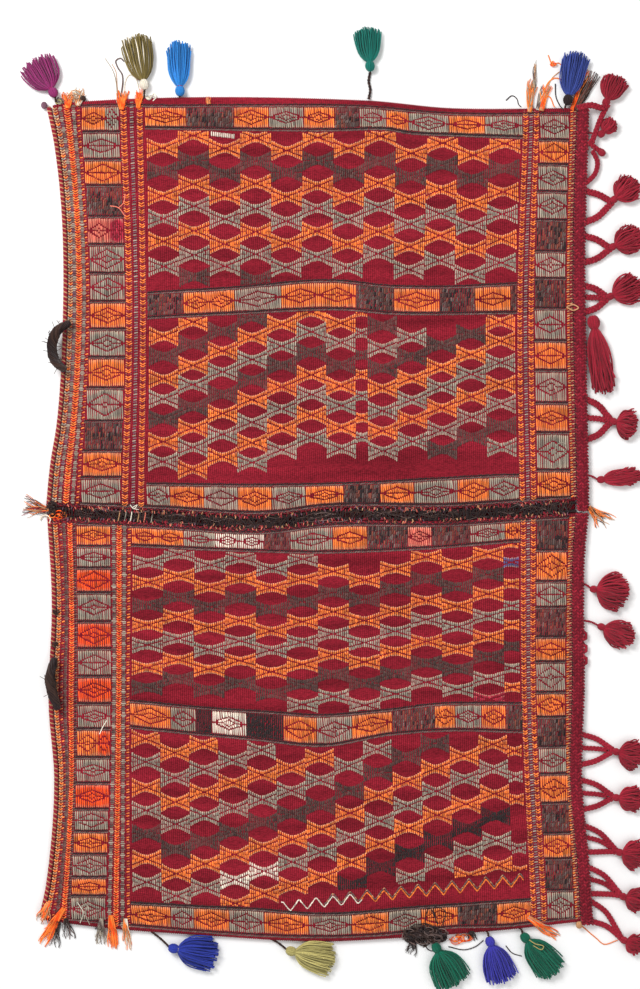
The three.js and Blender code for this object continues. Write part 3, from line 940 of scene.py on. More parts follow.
def column(work, side, left, right, bottom, top, order):
    """A stack of blocks beside the field, from the top down. The order gives each block's colour letter,
    or two letters where it changes colour part way across, and its height."""
    below, above = LEVELS[bottom], LEVELS[top]
    x_mid = x_on(side, left + 0.5, side * 250.0)
    y_top, y_bottom = float(above(x_mid)) - 2.6, float(below(x_mid)) + 2.6
    blocks = [(item.rstrip("0123456789"), float(item.lstrip("OBGWPRKC"))) for item in order.split()]
    heights = [height for _, height in blocks]
    edges = y_top - (y_top - y_bottom) * np.cumsum([0] + heights) / sum(heights)
    for k, (letters, _) in enumerate(blocks):
        high = edges[k] - (2.4 if k else 0)
        low = edges[k + 1] + (2.4 if k < len(blocks) - 1 else 0)
        x_left, x_right = (x_on(side, line, (low + high) / 2) for line in (left, right))
        x_change = mix(x_left, x_right, 0.62) if len(letters) > 1 else x_right - 0.8
        spans = ((x_left + 0.8, x_change), (x_change, x_right - 0.8))
        for letter, (start, end) in zip(letters, spans):
            cell(work, start, end, lambda x: low, lambda x: high, LETTERS[letter], tall=0.36)
        if k:
            twined(work, lambda s: (mix(x_left, x_right, s), high + 2.4), abs(x_right - x_left))


def twined(work, line, length, dyes=("black", "dusk"), pitch=3.1, width=1.15):
    """A furrow line of two dark rows, each of small slanting stitches."""
    count = max(2, round(length / pitch))
    for row, dye in zip((1, -1), dyes):
        for k in range(count):
            x0, y0 = line(k / count)
            x1, y1 = line((k + 1) / count)
            away = row * width
            work.lay(x0, y0 + away - 0.5, x1, y1 + away + 0.5, 2.2, dye)


work = Stitching()
band(work, 1, "upper high", "upper top", "O52 B60 O44 G44 O39 B31 G34 O28 G51 O45 G48")
band(work, 1, "upper middle low", "upper middle high", "B46 O65 G59 O95 B48 O58 B45 O45 B8")
band(work, 1, "upper lip", "upper lower", "G30 O43 G43 O43 G43 O48 B46 O43 G55 O40 G38")
column(work, 1, CELLS_L, CELLS_L2, "upper lip", "upper top",
       "OG100 G108 O102 B120 PC110 G112 G110 O108 G110 O120 G130 B115 O105 G98")
column(work, 1, CELLS_R, CELLS_R2, "upper lip", "upper top",
       "G95 O95 G105 G110 B120 G105 B115 G125 O115 G125 O115 G145 O100")
work.sew("upper_cells", pattern_wool)

work = Stitching()
band(work, -1, "lower high", "lower lip", "O65 G40 W61 B33 G53 O43 B51 P30 B48 G44 O19")
band(work, -1, "lower middle low", "lower middle high",
     "O51 G31 K20 W43 K46 O41 G44 O50 B53 O25 G33 O30 B21")
band(work, -1, "lower bottom", "lower low", "O50 G29 O44 G44 O56 G54 O46 G41 O46 B49 O43")
column(work, -1, CELLS_L, CELLS_L2, "lower bottom", "lower lip",
       "O75 G80 R92 G108 R100 G103 R102 G93 OR107 G95 R97 G83 O85 G85 O70 G90")
column(work, -1, CELLS_R, CELLS_R2, "lower bottom", "lower lip",
       "B110 O115 G95 B108 O92 G112 O92 B108 G100 O108 B110 O95 B115 G105")
work.sew("lower_cells", pattern_wool)


# ---- Twined lines and upright stripes ----
# Dark twined rows part the bands from the fields. Beside the cells run stripes of small chain work in
# orange, grey and black, and the two lips are edged with a row of dark red and black dots.

work = Stitching()
for label, level in LEVELS.items():
    side = 1 if label.startswith("upper") else -1
    y = float(level(0))
    ends = (FIELD_L, FIELD_R)
    if label in ("upper lip", "upper top", "lower lip", "lower bottom"):
        ends = (CELLS_L, CELLS_R2)
    x_left, x_right = (x_on(side, end, y) for end in ends)

    def along_level(share):
        x = mix(x_left, x_right, share)
        return x, float(level(x))

    twined(work, along_level, x_right - x_left)
for side in (1, -1):
    for k in range(170):
        x = mix(-322, 316, k / 169)
        for row in range(2):
            y = float(mouth_line(x)) + side * (9.2 + row * 1.9)
            work.lay(x - 1.3, y, x + 1.3, y, 1.7, "red" if (k + row) % 2 else "black")
work.sew("twined_lines", pattern_wool)


def stripe(work, side, line, kind, width, pitch, dyes):
    """One upright stripe of chain work, from the lip to the fold."""
    x_end = x_on(side, line, side * 505.0)
    end = float(top_fold(x_end)) - 3.5 if side > 0 else float(bottom_fold(x_end)) + 3.5
    start = float(mouth_line(x_on(side, line, 0.0))) + side * 12.0
    count = int(abs(end - start) / pitch)
    for k in range(count):
        y = mix(start, end, (k + 0.5) / count)
        x = x_on(side, line, y)
        dye = dyes[k % len(dyes)]
        if dye == "gap":
            continue
        if kind == "vee":
            for hand in (1, -1):
                work.lay(x, y - 1.1, x + hand * width / 2, y + 1.1, pitch * 0.78, dye, tip=0.25)
        elif kind == "blob":
            for row, share in ((-0.33, 0.62), (0, 1.0), (0.33, 0.62)):
                half = share * width / 2
                work.lay(x - half, y + row * pitch, x + half, y + row * pitch, pitch * 0.34, dye, tip=0.15)
        else:
            work.lay(x - width / 2, y - 0.5, x + width / 2, y + 0.5, pitch * 0.72, dye, tip=0.2)


work = Stitching()
for line, kind, width, pitch, dyes in (
    (0.07, "vee", 5.4, 3.3, ("tan", "grey", "orange", "tan")),
    (0.26, "blob", 6.2, 6.6, ("grey", "dusk", "grey", "plum")),
    (0.49, "vee", 7.4, 3.0, ("orange", "flame", "orange")),
    (0.73, "blob", 6.2, 6.6, ("grey", "grey", "dusk")),
    (0.91, "dot", 3.4, 3.3, ("orange", "red")),
    (2.16, "vee", 7.4, 2.9, ("orange", "orange", "red")),
    (2.48, "dot", 4.4, 3.2, ("plum", "grey")),
    (2.80, "vee", 6.8, 2.9, ("orange", "orange", "red")),
):
    stripe(work, 1, line, kind, width, pitch, dyes)
for line, kind, width, pitch, dyes in (
    (0.08, "vee", 5.0, 3.2, ("tan", "orange")),
    (0.30, "dot", 3.2, 3.4, ("orange", "red", "dusk", "red")),
    (0.46, "blob", 5.6, 6.4, ("dusk", "brown")),
    (0.73, "vee", 6.2, 2.9, ("flame", "orange")),
    (0.93, "dot", 3.4, 2.8, ("dusk", "black")),
    (2.14, "blob", 6.2, 7.2, ("grey", "dusk")),
    (2.40, "vee", 6.2, 2.9, ("flame", "orange")),
    (2.66, "blob", 6.2, 7.2, ("grey", "dusk")),
    (2.90, "dot", 3.6, 3.3, ("orange", "orange", "red")),
):
    stripe(work, -1, line, kind, width, pitch, dyes)
work.sew("left_stripes", pattern_wool)

work = Stitching()
for side in (1, -1):
    for line, kind, width, pitch, dyes in (
        (4.18, "vee", 5.8, 3.0, ("orange", "orange", "red")),
        (4.50, "dot", 4.2, 3.2, ("plum", "grey")),
        (4.82, "vee", 5.8, 3.0, ("orange", "orange", "red")),
        (6.34, "dot", 3.2, 3.0, ("orange", "tan")),
        (6.78, "dot", 3.2, 3.0, ("tan", "red")),
    ):
        stripe(work, side, line, kind, width, pitch, dyes)
work.sew("right_stripes", pattern_wool)


# ---- Bindings of the mouths ----
# Each mouth is bound with black goat-hair yarn, wound closely over its edge. Loops and loose hairs of
# the same yarn lace the two mouths together and hide the slit between them.


def coil(skein, path, radius, pitch, thickness, dyes, turn_points=8):
    """Yarn wound round a path, one strand for each dye, lying beside each other."""
    path = resample(path, pitch / turn_points)
    _, across, up = sides_of(path)
    turn = distances(path) / pitch * 2 * math.pi
    for k, dye in enumerate(dyes):
        phase = (turn + k * 2 * math.pi / len(dyes))[:, None]
        skein.lay(path + (np.cos(phase) * across + np.sin(phase) * up) * radius, thickness, dye)


def lip_path(side):
    """The middle of the binding on one lip."""
    x = np.linspace(cloth_left(0.0) + 0.5, cloth_right(0.0) - 0.5, 60)
    z = cloth_height(x, mouth_line(x) + side * (LIP + 0.1)) - CLOTH / 2
    return np.stack([x, mouth_line(x) + side * (SLIT / 2 + BINDING / 2), z], axis=1)


for label, side in (("upper", 1), ("lower", -1)):
    bound = Skein()
    coil(bound, lip_path(side), 1.15, 2.3, 1.9, ("black",))
    bound.lay(resample(lip_path(side), 12), 2.2, "black")
    binding = bound.spin(label + "_mouth_goat_hair_binding", goat_hair, sides=4)
    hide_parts(label + "_mouth_binding")
    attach(binding, "root")

LACE_START, LACE_END = -322, 318
LOOPS_ACROSS, HAIRS_ALONG, FLECKS = 330, 260, 620
lacing = Skein()
for k in range(LOOPS_ACROSS):
    x = LACE_START + (LACE_END - LACE_START) * (k + yarn_rng.uniform(0, 1)) / LOOPS_ACROSS
    slant = yarn_rng.normal(0, 3.5)
    rise = 1.6 + yarn_rng.uniform(0, 1.4)
    route = []
    for s in np.linspace(-1, 1, 6):
        y = mouth_line(x) + s * (6.0 + yarn_rng.uniform(0, 1.5))
        z = cloth_height(x, mouth_line(x) + LIP) - 0.6 + rise * (1 - s * s * 0.8)
        route.append((x + slant * s, float(y), float(z)))
    lacing.lay(route, yarn_rng.uniform(1.0, 2.1), ("black", "hair", "black")[k % 3], fade=0.4)
for k in range(HAIRS_ALONG):
    x = yarn_rng.uniform(LACE_START, 300)
    run = yarn_rng.uniform(10, 34)
    away = yarn_rng.uniform(-7.5, 7.5)
    route = []
    for s in np.linspace(0, 1, 6):
        here = x + run * s
        y = mouth_line(here) + away + 1.6 * math.sin(s * 5 + k)
        z = cloth_height(here, mouth_line(here) + LIP) - 0.3 + (1.6 if abs(away) < 4 else 1.2)
        route.append((here, float(y), float(z)))
    hair = ("black", "hair", "black", "dusk", "hair")[k % 5]
    lacing.lay(route, yarn_rng.uniform(0.7, 1.5), hair, fade=0.4)
for k in range(FLECKS):
    x = yarn_rng.uniform(LACE_START, LACE_END - 2)
    away = (1 if k % 2 else -1) * yarn_rng.uniform(4.4, 9.5)
    y = float(mouth_line(x)) + away
    z = float(cloth_height(x, mouth_line(x) + LIP)) + 0.9
    run = yarn_rng.uniform(-0.8, 0.8)
    fleck = ("red", "plum", "red", "tan", "rust", "red", "pink")[k % 7]
    lacing.lay([(x - run, y - 1.5, z), (x, y, z + 0.3), (x + run, y + 1.5, z)], 1.5, fleck, fade=0.3)
for x, dye in ((-246, "tan"), (-238, "grey"), (-231, "cream"), (-222, "tan"), (-214, "pink"), (-205, "grey")):
    y = float(mouth_line(x))
    z = float(cloth_height(x, y + LIP)) + 1.6
    lacing.lay([(x - 1, y - 7, z - 1), (x, y - 3, z), (x + 1, y + 2, z), (x + 1, y + 5, z - 1)], 1.9, dye)
mouth_lacing = lacing.spin("mouth_goat_hair_lacing", goat_hair, sides=3)
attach(mouth_lacing, "root")


# ---- Side cord on the left and side braid on the right ----
# The left side is closed by a thick cord, oversewn in turns of dark red and tan. The right side is
# closed by a broad flat braid of red wool, made of small slanting turns in five ranks.

for label, side in (("upper", 1), ("lower", -1)):
    y = np.linspace(side * 3.0, side * 507.0, 60)
    place = np.stack([outer_left(y) + SIDE_CORD / 2, y, np.full_like(y, SIDE_CORD / 2)], axis=1)
    sewn = Skein()
    coil(sewn, place, 2.4, 5.7, 1.95, ("red", "tan", "red"))
    sewn.lay(resample(place, 10), 4.4, "red")
    cord_piece = sewn.spin(f"left_{label}_oversewn_cord", tassel_wool, sides=4)
    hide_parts(f"left_{label}_side_cord")
    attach(cord_piece, "root")


LAID = 15.0  # width that the braid pulls in to, less than the room it has beside the cloth
TURN_PITCH = 4.0
RANK_PITCH = 3.05


def braid_middle(y):
    return cloth_right(y) + SEAM + LAID / 2


def braid_height(x, y):
    share = np.clip((x - braid_middle(y)) / (LAID / 2), -0.98, 0.98)
    return BRAID_HEIGHT / 2 + (BRAID_HEIGHT / 2 - 0.9) * np.sqrt(1 - share * share)


def flattened(piece, middle, share):
    """Presses a piece flat about a level."""
    spots = np.empty(len(piece.data.vertices) * 3)
    piece.data.vertices.foreach_get("co", spots)
    spots[2::3] = middle / 1000 + (spots[2::3] - middle / 1000) * share
    piece.data.vertices.foreach_set("co", spots)
    piece.data.update()


for label, side, far in (("upper", 1, 503.0), ("lower", -1, 515.0)):
    y = np.linspace(side * 1.5, side * far, 90)
    place = np.stack([braid_middle(y), y, np.full_like(y, BRAID_HEIGHT / 2)], axis=1)
    filling = Skein()
    filling.lay(place, LAID - 1.6, "#741a29", fade=0)
    core = filling.spin(f"right_{label}_braid_filling", tassel_wool, sides=18)
    flattened(core, BRAID_HEIGHT / 2, (BRAID_HEIGHT - 1.6) / (LAID - 1.6))
    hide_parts(f"right_{label}_side_braid")
    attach(core, "root")
    ranks = Stitching()
    for k in range(int((far - 3) / TURN_PITCH) + 1):
        y = side * (3.0 + k * TURN_PITCH)
        for rank in range(-2, 3):
            x = float(braid_middle(y)) + rank * RANK_PITCH
            hand = 1 if rank % 2 else -1
            dye = "red" if (k + rank) % 3 else "#7d1c2b"
            ranks.lay(x - 1.45, y - hand * 1.6, x + 1.45, y + hand * 1.6, 3.2, dye, high=2.4)
    ranks.sew(f"right_{label}_braid_turns", tassel_wool, height=braid_height, sides=4)


# ---- Tassels ----
# A tassel is a hank of yarn folded over a tie, bound at the neck and cut to a skirt. The coloured ones
# are tied to the folds, and the red ones end the plaits on the right side.

TASSEL_THICK = 15
HEAD = 6  # radius of a tassel's head
KNOB_YARNS = 13
GOLDEN_TURN = 2.39996  # radians, the turn that spreads yarns evenly over a round section


def knob(skein, top, way, ball, dye):
    """A round ball of yarn, from its top along a way."""
    side = np.array([-way[1], way[0], 0])
    up = np.array([0, 0, 1.0])
    for k in range(KNOB_YARNS):
        turn = k / KNOB_YARNS * 2 * math.pi
        out = side * math.cos(turn) + up * math.sin(turn)
        line = []
        for t in np.linspace(0.1, 0.93, 7) * math.pi:
            line.append(top + way * ball * (1 - math.cos(t)) + out * ball * 0.8 * math.sin(t))
        skein.lay(line, ball * 0.46, dye)
    skein.lay([top + way * ball * s for s in (0.15, 0.5, 1.0, 1.5, 1.9)], ball * 1.1, dye)


def tassel(skein, head, end, width, dyes, neck=None, crown=None, thread="hair", ball=HEAD, strands=90,
           yarn=2.0, curl=0.8, droop=0.13, tie=None):
    """A tassel in its CAD solid's place. Droop shortens the outer strands, which rounds the skirt."""
    head, end = np.array(head, float), np.array(end, float)
    length = np.linalg.norm(end - head)
    way = np.array([*(end - head) / length, 0])
    side = np.array([-way[1], way[0], 0])
    level = TASSEL_THICK / 2
    top = np.array([*head, level])
    knob(skein, top, way, ball, crown or dyes[0])
    neck_at = top + way * ball * 1.9
    wrap = [neck_at + way * s for s in (-1.6, -0.4, 0.8, 2.0)]
    coil(skein, wrap, ball * 0.52, 1.7, 1.7, (neck or dyes[0],))
    skirt = length - ball * 1.9
    for k in range(strands):
        out = math.sqrt((k + 0.5) / strands)
        a, b = out * math.cos(k * GOLDEN_TURN), out * math.sin(k * GOLDEN_TURN)
        reach = skirt * (1.0 - droop * a * a + yarn_rng.uniform(-0.1, 0.05))
        phase, beat = yarn_rng.uniform(0, 6.3), yarn_rng.uniform(4, 9)
        line = []
        for t in np.linspace(0, 1, 8) ** 1.3:
            spread = 0.74 * (1 - (1 - t) ** 5) + 0.26 * t
            across = a * (2.6 + (width / 2 - 3.6) * spread) + curl * t * math.sin(beat * t + phase)
            rise = level + b * (2.6 + 3.2 * min(1.0, 1.6 * spread)) - 0.9 * t
            rise += 0.5 * curl * t * math.cos(beat * t + phase)
            spot = neck_at + way * reach * t + side * across
            spot[2] = min(max(rise, yarn / 2), TASSEL_THICK - yarn / 2)
            line.append(spot)
        skein.lay(line, yarn, dyes[k % len(dyes)], fade=0.3, taper=0.75)
    if tie:
        start = np.array([*tie, 3.0])
        middle = (start + top) / 2 + side * 1.5
        twist(skein, [start, middle, top + way * 1.5], 3.2, (thread, thread), repeat=5)


# Node, head, end, width, dyes, the neck's and the head's dye, slot and where on the fold it is tied
for node, head, end, width, dyes, neck, crown, slot, tie in (
    ("magenta_tassel", (-326, 520), (-352, 566), 52, ("magenta",), "red", None, "magenta_wool", (-322, 508)),
    ("olive_tassel", (-214, 529), (-226, 596), 42, ("olive", "olive", "olive", "cream", "olive"),
     "cream", "cream", "olive_wool", (-213, 512)),
    ("sky_blue_tassel", (-170, 521), (-172, 588), 33, ("sky",), "red", None, "sky_wool", (-169, 512)),
    ("top_green_tassel", (68, 552), (64, 605), 36, ("top green",), "top green", None, "green_wool", None),
    ("navy_tassel", (314, 510), (327, 575), 37, ("navy",), "black", "black", "navy_wool", (313, 504)),
    ("blue_tassel", (-184, -545), (-124, -555), 48, ("blue",), "grey", None, "blue_wool", (-206, -526)),
    ("khaki_tassel", (-37, -548), (22, -562), 46, ("khaki",), "khaki", None, "khaki_wool", (-58, -534)),
    ("left_green_tassel", (148, -540), (174, -592), 52, ("green",), "green", None, "green_wool", (140, -530)),
    ("violet_tassel", (216, -532), (234, -588), 44, ("violet",), "violet", None, "violet_wool", (211, -522)),
    ("right_green_tassel", (258, -528), (299, -578), 44, ("green",), "green", None, "green_wool",
     (254, -520)),
):
    work = Skein()
    tassel(work, head, end, width, dyes, neck, crown, tie=tie)
    piece = work.spin(node + "_of_yarn", tassel_wool, sides=4)
    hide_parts(node)
    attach(piece, "root")

for name, head, end, width, ends in RED_TASSELS:
    tie = None if ends else (float(outer_right(head[1])) - 4, head[1] + 6)
    work = Skein()
    tassel(work, head, end, width, ("red",), thread="red", ball=4.6, strands=100, yarn=2.3,
           curl=2.0, droop=0.36, tie=tie)
    piece = work.spin(name + "_of_yarn", tassel_wool, sides=4)
    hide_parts(name)
    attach(piece, "root")
    if ends:
        loop, path, middle_leg = loops[name]

work = Skein()
tassel(work, (346, 245), (362, 150), 34, ("red",), ball=8, strands=76, yarn=2.6, curl=2.6)
fringe = work.spin("red_fringe_of_yarn", tassel_wool, sides=4)
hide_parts("red_fringe")
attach(fringe, "root")

# The corner tassel's plait crosses the braid's end, and goes on down beside the braid to an empty loop
work = Skein()
tassel(work, (361, 508), (378, 546), 36, ("red",), ball=5, yarn=2.2, curl=1.2, droop=0.2)
plait(work, [(327, 505, 10), (344, 508, 13), (357, 505, 12), (366, 509, 9)], 9, 7, "red")
plait(work, [(364, 508, 10), (356, 492, 9), (350, 476, 8), (345, 462, 8)], 7.5, 6, "red")
plait(work, [(341, 463, 9), (349, 456, 7), (358, 451, 5)], 7.5, 6, "red")
plait(work, [(346, 452, 7), (352.5, 438, 5), (349, 423, 5), (337, 411, 6)], 7, 6, "red")
knob(work, np.array([354.0, 453, 5]), np.array([0.8, -0.6, 0]), 4.6, "red")
for y in (-155, -171, -186):
    edge = float(outer_right(y)) - 3
    bulge = edge + 2.5
    work.lay([(edge - 3, y + 6, 6), (bulge, y + 3, 6), (bulge, y - 3, 6), (edge - 3, y - 6, 6)], 4.2, "red")
corner = work.spin("red_corner_tassel_and_plaits", tassel_wool, sides=4)
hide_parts("red_corner_tassel")
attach(corner, "root")


# ---- Hanks of dark hair and loose yarn ends ----
# Where warps and pattern yarns were finished, their ends were knotted and left. Two hanks of dark
# goat hair, once ties for the load, are caught in the left side.


HANK_HAIRS, STANDING_HAIRS = 70, 40


def hair_hank(name, node, points, width, turns):
    """A slack rope of hair along a path, with hairs that stand off it."""
    skein = Skein()
    path = resample(points, 3)
    _, across, up = sides_of(path)
    share = np.linspace(0, 1, len(path))
    belly = (0.55 + 0.45 * np.sin(share * math.pi))[:, None]
    for k in range(HANK_HAIRS):
        out = math.sqrt((k + 0.5) / HANK_HAIRS) * (width / 2 - 1)
        phase = (k * GOLDEN_TURN + share * turns * 2 * math.pi)[:, None]
        wave = 0.5 * np.sin(share * 40 + k)[:, None] * across
        line = path + (np.cos(phase) * across + np.sin(phase) * up) * out * belly + wave
        hair = ("hair", "black", "hair", "black", "hair")[k % 5]
        skein.lay(line, yarn_rng.uniform(1.1, 1.9), hair, fade=0.35)
    for k in range(STANDING_HAIRS):
        at = yarn_rng.integers(1, len(path) - 2)
        turn = yarn_rng.uniform(0, 6.3)
        away = across[at] * math.cos(turn) + up[at] * abs(math.sin(turn)) * 0.2
        bend = np.array([yarn_rng.uniform(-1, 1), yarn_rng.uniform(-1, 1), 0]) * 4
        root, middle = path[at], path[at] + away * width * 0.5
        skein.lay([root, middle, path[at] + away * width * 0.75 + bend], 0.8, "hair", fade=0.4)
    piece = skein.spin(name, goat_hair, sides=3)
    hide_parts(node)
    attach(piece, "root")


over_cloth = CLOTH * 2 + POUCH_ROOM + GAP + 5.5
crescent = ((-306, 236), (-322, 226), (-329, 208), (-325, 188), (-312, 177))
hair_hank("upper_hank_of_goat_hair", "dark_hank_upper", [(x, y, over_cloth) for x, y in crescent], 15, 1.6)
straight = ((-325, -182), (-331, -204), (-328, -226), (-321, -246))
hair_hank("lower_hank_of_goat_hair", "dark_hank_lower", [(x, y, over_cloth) for x, y in straight], 15, 1.1)


def lie(x, y, thickness):
    """The height of a thread's middle, on the cloth, where it comes over a fold or on the floor."""
    inside = min(top_fold(x) - y, y - bottom_fold(x), x - outer_left(y), outer_right(y) - x)
    share = min(max(float(inside) / 5 + 0.6, 0.0), 1.0)
    return share * float(cloth_height(x, y)) + thickness / 2 + 0.2


def thread(skein, dye, thickness, *spots, lift=0.0):
    """One loose thread through spots on the cloth or beyond its edge."""
    path = resample([(x, y, 0) for x, y in spots], 2.0)
    path[:, 2] = [lie(x, y, thickness) + lift for x, y, _ in path]
    skein.lay(path, thickness, dye, fade=0.2, taper=0.8)


def tuft(skein, start, end, width, dyes, strands=16, yarn=1.5, curl=2.5):
    """Yarn ends that spring from one place and part as they lie."""
    start, end = np.array(start, float), np.array(end, float)
    way = end - start
    side = np.array([-way[1], way[0]]) / np.linalg.norm(way)
    for k in range(strands):
        a = (k + 0.5) / strands * 2 - 1 + yarn_rng.uniform(-0.15, 0.15)
        reach = yarn_rng.uniform(0.6, 1.0)
        phase, beat = yarn_rng.uniform(0, 6.3), yarn_rng.uniform(3, 9)
        line = []
        for t in np.linspace(0, 1, 10):
            across = a * (2.0 + (width / 2 - 2) * t) + curl * t * math.sin(beat * t + phase)
            x, y = start + way * reach * t + side * across
            pile = 2.4 * abs(math.sin(t * 3 + k)) * (1 - 0.5 * t)
            line.append((x, y, lie(x, y, yarn) + pile))
        skein.lay(line, yarn * yarn_rng.uniform(0.7, 1.15), dyes[k % len(dyes)], fade=0.3, taper=0.5)


def curls(skein, middle, reach, dyes, count, radius, thickness, heap=3.0):
    """Loose loops of yarn in a heap."""
    for k in range(count):
        turn, out = yarn_rng.uniform(0, 6.3), math.sqrt(yarn_rng.uniform(0, 1))
        size = radius * yarn_rng.uniform(0.5, 1.1)
        first, sweep = yarn_rng.uniform(0, 6.3), yarn_rng.uniform(3.0, 6.0)
        level = yarn_rng.uniform(0, heap)
        line = []
        for t in np.linspace(0, 1, 12):
            angle = first + sweep * t
            x = middle[0] + reach[0] * out * math.cos(turn) + size * math.cos(angle) * (1 + 0.3 * t)
            y = middle[1] + reach[1] * out * math.sin(turn) + size * math.sin(angle) * 0.8
            line.append((x, y, lie(x, y, thickness) + level + 0.8 * math.sin(angle * 2)))
        skein.lay(line, thickness, dyes[k % len(dyes)], fade=0.35)


def trimming(skein, name, node=None, wool=tassel_wool):
    """Makes a pile of yarn ends a piece of the bag."""
    piece = skein.spin(name, wool, sides=4)
    if node:
        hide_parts(node)
    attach(piece, "root")


DOWN = np.array([0, -1.0, 0])

# Over the upper pouch's fold, at the left corner and above the inner stripes
work = Skein()
tuft(work, (-310, 505), (-312, 528), 15, ("orange", "flame", "orange"), 18, 1.9, 1.4)
tuft(work, (-298, 508), (-294, 533), 14, ("cream", "tan", "orange", "tan"), 14, 1.6, 2.0)
curls(work, (-302, 522), (7, 6), ("cream", "tan", "grey", "tan"), 14, 4.5, 1.3)
curls(work, (-321, 514), (5, 4), ("grey", "dusk", "khaki"), 9, 3.2, 1.4)
knob(work, np.array([-291.5, 521, 5]), DOWN, 3.4, "hair")
knob(work, np.array([-340.5, 513, 5]), DOWN, 3.8, "plum")
trimming(work, "top_left_yarn_ends", "top_left_ends")

work = Skein()
tuft(work, (-243, 503), (-243, 529), 16, ("orange", "flame", "orange"), 26, 2.1, 1.0)
tuft(work, (-222, 505), (-221, 530), 10, ("orange", "flame"), 16, 2.0, 1.0)
tuft(work, (-134, 510), (-136, 521), 6, ("orange", "tan"), 7, 1.4, 1.0)
thread(work, "grey", 1.2, (-249, 512), (-251, 540), (-254.6, 553), (-264.6, 569))
thread(work, "tan", 1.0, (-248, 512), (-249.5, 536), (-251, 552), (-256, 562))
thread(work, "dusk", 1.9, (-244.5, 520), (-243, 548), (-249, 558), (-251, 566), (-245, 569), (-241, 565))
thread(work, "cream", 1.5, (-240, 520), (-239, 540), (-234, 548), (-227, 545), (-222, 530))
thread(work, "cream", 1.6, (-216, 520), (-209, 518), (-203, 525), (-200, 519), (-204, 514))
curls(work, (-208, 519), (6, 2), ("cream", "grey"), 5, 3.0, 1.3)
trimming(work, "top_middle_yarn_ends", "top_middle_ends")

# Over the upper pouch's fold at the right, with a dark hank beside the navy tassel
work = Skein()
tuft(work, (267, 500), (272, 551), 12, ("orange", "orange", "tan", "grey"), 18, 2.0, 1.8)
tuft(work, (273, 532), (276, 570), 5, ("dusk", "grey", "tan"), 7, 1.8, 1.4)
tuft(work, (277, 503), (286, 536), 7, ("grey", "dusk", "cream"), 9, 1.8, 1.5)
tuft(work, (282, 502), (290, 536), 11, ("orange", "flame", "tan"), 16, 2.1, 1.8)
thread(work, "orange", 1.7, (285, 522), (291, 538), (299, 544), (309, 542))
thread(work, "tan", 1.3, (287, 522), (296, 544), (308, 554))
thread(work, "orange", 1.6, (284, 515), (292, 521), (299, 507))
thread(work, "orange", 1.5, (291, 573), (297, 561), (304, 563), (311, 556))
curls(work, (297, 562), (2, 2), ("orange", "flame"), 5, 2.6, 1.3)
thread(work, "black", 1.4, (238, 516), (246, 522), (252, 518), (254, 511), (257, 508))
thread(work, "black", 1.5, (300, 537), (301, 520), (306, 509), (310, 502))
tuft(work, (326, 503), (348, 553), 15, ("hair", "dusk", "black", "hair", "rust"), 30, 2.1, 2.0)
tuft(work, (320, 503), (343, 562), 8, ("orange", "flame"), 8, 1.9, 1.6)
trimming(work, "top_right_yarn_ends", "top_right_ends")

# Under the lower pouch's fold, where the left stripes end
work = Skein()
tuft(work, (-315, -495), (-345, -543), 13, ("orange", "flame", "orange"), 26, 2.1, 1.3)
tuft(work, (-334, -488), (-346, -517), 17, ("orange", "tan", "flame", "tan"), 16, 1.8, 2.0)
tuft(work, (-322, -512), (-329, -547), 11, ("black", "hair"), 9, 1.6, 2.5)
tuft(work, (-313, -508), (-309, -537), 16, ("dusk", "hair", "black"), 12, 1.5, 2.5)
tuft(work, (-268, -508), (-270, -543), 15, ("grey", "dusk", "grey"), 20, 1.7, 2.0)
tuft(work, (-256, -504), (-254, -549), 13, ("orange", "flame", "orange"), 28, 1.8, 1.0)
tuft(work, (-238, -508), (-236, -550), 11, ("tan", "orange", "cream"), 18, 1.5, 1.3)
thread(work, "black", 1.5, (-264, -514), (-270, -518), (-277, -523))
trimming(work, "bottom_left_yarn_ends", "bottom_left_ends")

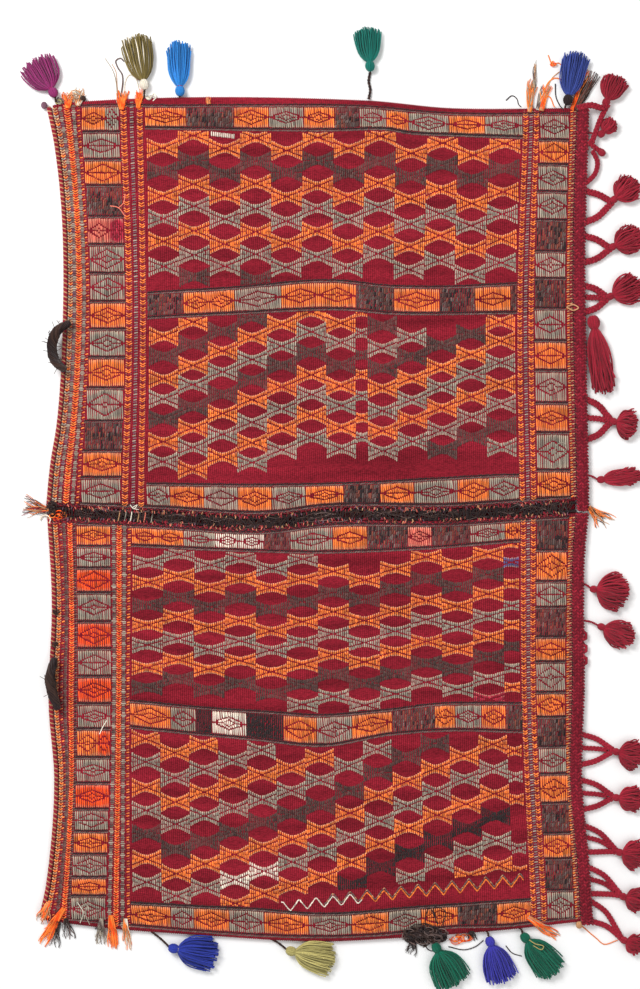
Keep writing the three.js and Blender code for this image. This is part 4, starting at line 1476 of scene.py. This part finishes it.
# A tangle of goat hair at the lower fold, and hairs that run from tassel to tassel
work = Skein()
curls(work, (137, -529), (23, 10), ("hair", "black", "dusk"), 90, 7.5, 1.5, heap=5.0)
tuft(work, (124, -536), (116, -555), 18, ("hair", "black"), 14, 1.3)
tuft(work, (195, -524), (195, -538), 13, ("black", "hair"), 18, 1.5, 1.0)
thread(work, "black", 1.4, (152, -515), (142, -494), (136, -508), (140, -522))
thread(work, "black", 1.4, (158, -516), (161, -498), (148, -493), (150, -512))
thread(work, "black", 1.4, (134, -538), (141, -549), (150, -551))
thread(work, "black", 1.4, (166, -545), (186, -549), (200, -545), (210, -537))
thread(work, "black", 1.4, (238, -544), (246, -553), (258, -557))
trimming(work, "bottom_goat_hair_tangle", "bottom_hair_tuft", goat_hair)

work = Skein()
curls(work, (181, -533), (10, 6), ("orange", "flame"), 9, 6.0, 1.3)
tuft(work, (265, -506), (304, -534), 13, ("orange", "flame", "orange", "grey"), 28, 2.2, 1.5)
thread(work, "khaki", 1.5, (266, -534), (274, -539), (284, -542), (282, -546), (271, -541), lift=14.0)
knob(work, np.array([329.5, -512.5, 6]), DOWN, 4.2, "tan")
thread(work, "orange", 1.5, (332, -518), (352, -535), (361, -542), (378, -537))
trimming(work, "bottom_right_yarn_ends")

# At the two ends of the mouths
work = Skein()
tuft(work, (-334, 3), (-368, 8), 26, ("red", "orange", "black", "tan"), 24)
curls(work, (-331, 5), (6, 6), ("black", "hair"), 20, 3.5, 1.5)
curls(work, (-322, -7), (9, 6), ("orange", "flame", "red"), 11, 4.5, 1.3)
thread(work, "cream", 2.4, (-346, -10), (-343, -5), (-337, -4), (-332, -8), (-333, -14), lift=1.0)
thread(work, "cream", 1.3, (-232, 9), (-227, 4), (-223, 9), (-229, 5), (-221, 3), lift=1.0)
curls(work, (-325, -125), (2, 3), ("hair",), 7, 2.4, 1.2)
curls(work, (-326, -166), (2, 3), ("hair",), 7, 2.4, 1.2)
thread(work, "pink", 1.6, (-257, 382), (-247, 380), (-238, 369))
thread(work, "pink", 1.5, (-238, 397), (-240, 386), (-246, 380))
thread(work, "cream", 1.3, (-298, -487), (-291, -500), (-295, -514))
thread(work, "grey", 1.3, (-284, -488), (-288, -503), (-283, -516))
thread(work, "cream", 1.3, (-270, -277), (-266, -268), (-261, -260))
trimming(work, "left_corner_yarn_ends", "left_corner_ends")

work = Skein()
tuft(work, (342, 6), (368, -18), 24, ("orange", "black", "tan", "orange"), 20)
thread(work, "tan", 1.8, (313, 256), (321, 252), (328, 255), (322, 259), (314, 257), lift=2.5)
thread(work, "grey", 1.4, (298, 70), (300, 83), (309, 87), (313, 79), (305, 71))
trimming(work, "right_corner_yarn_ends", "right_corner_tuft")
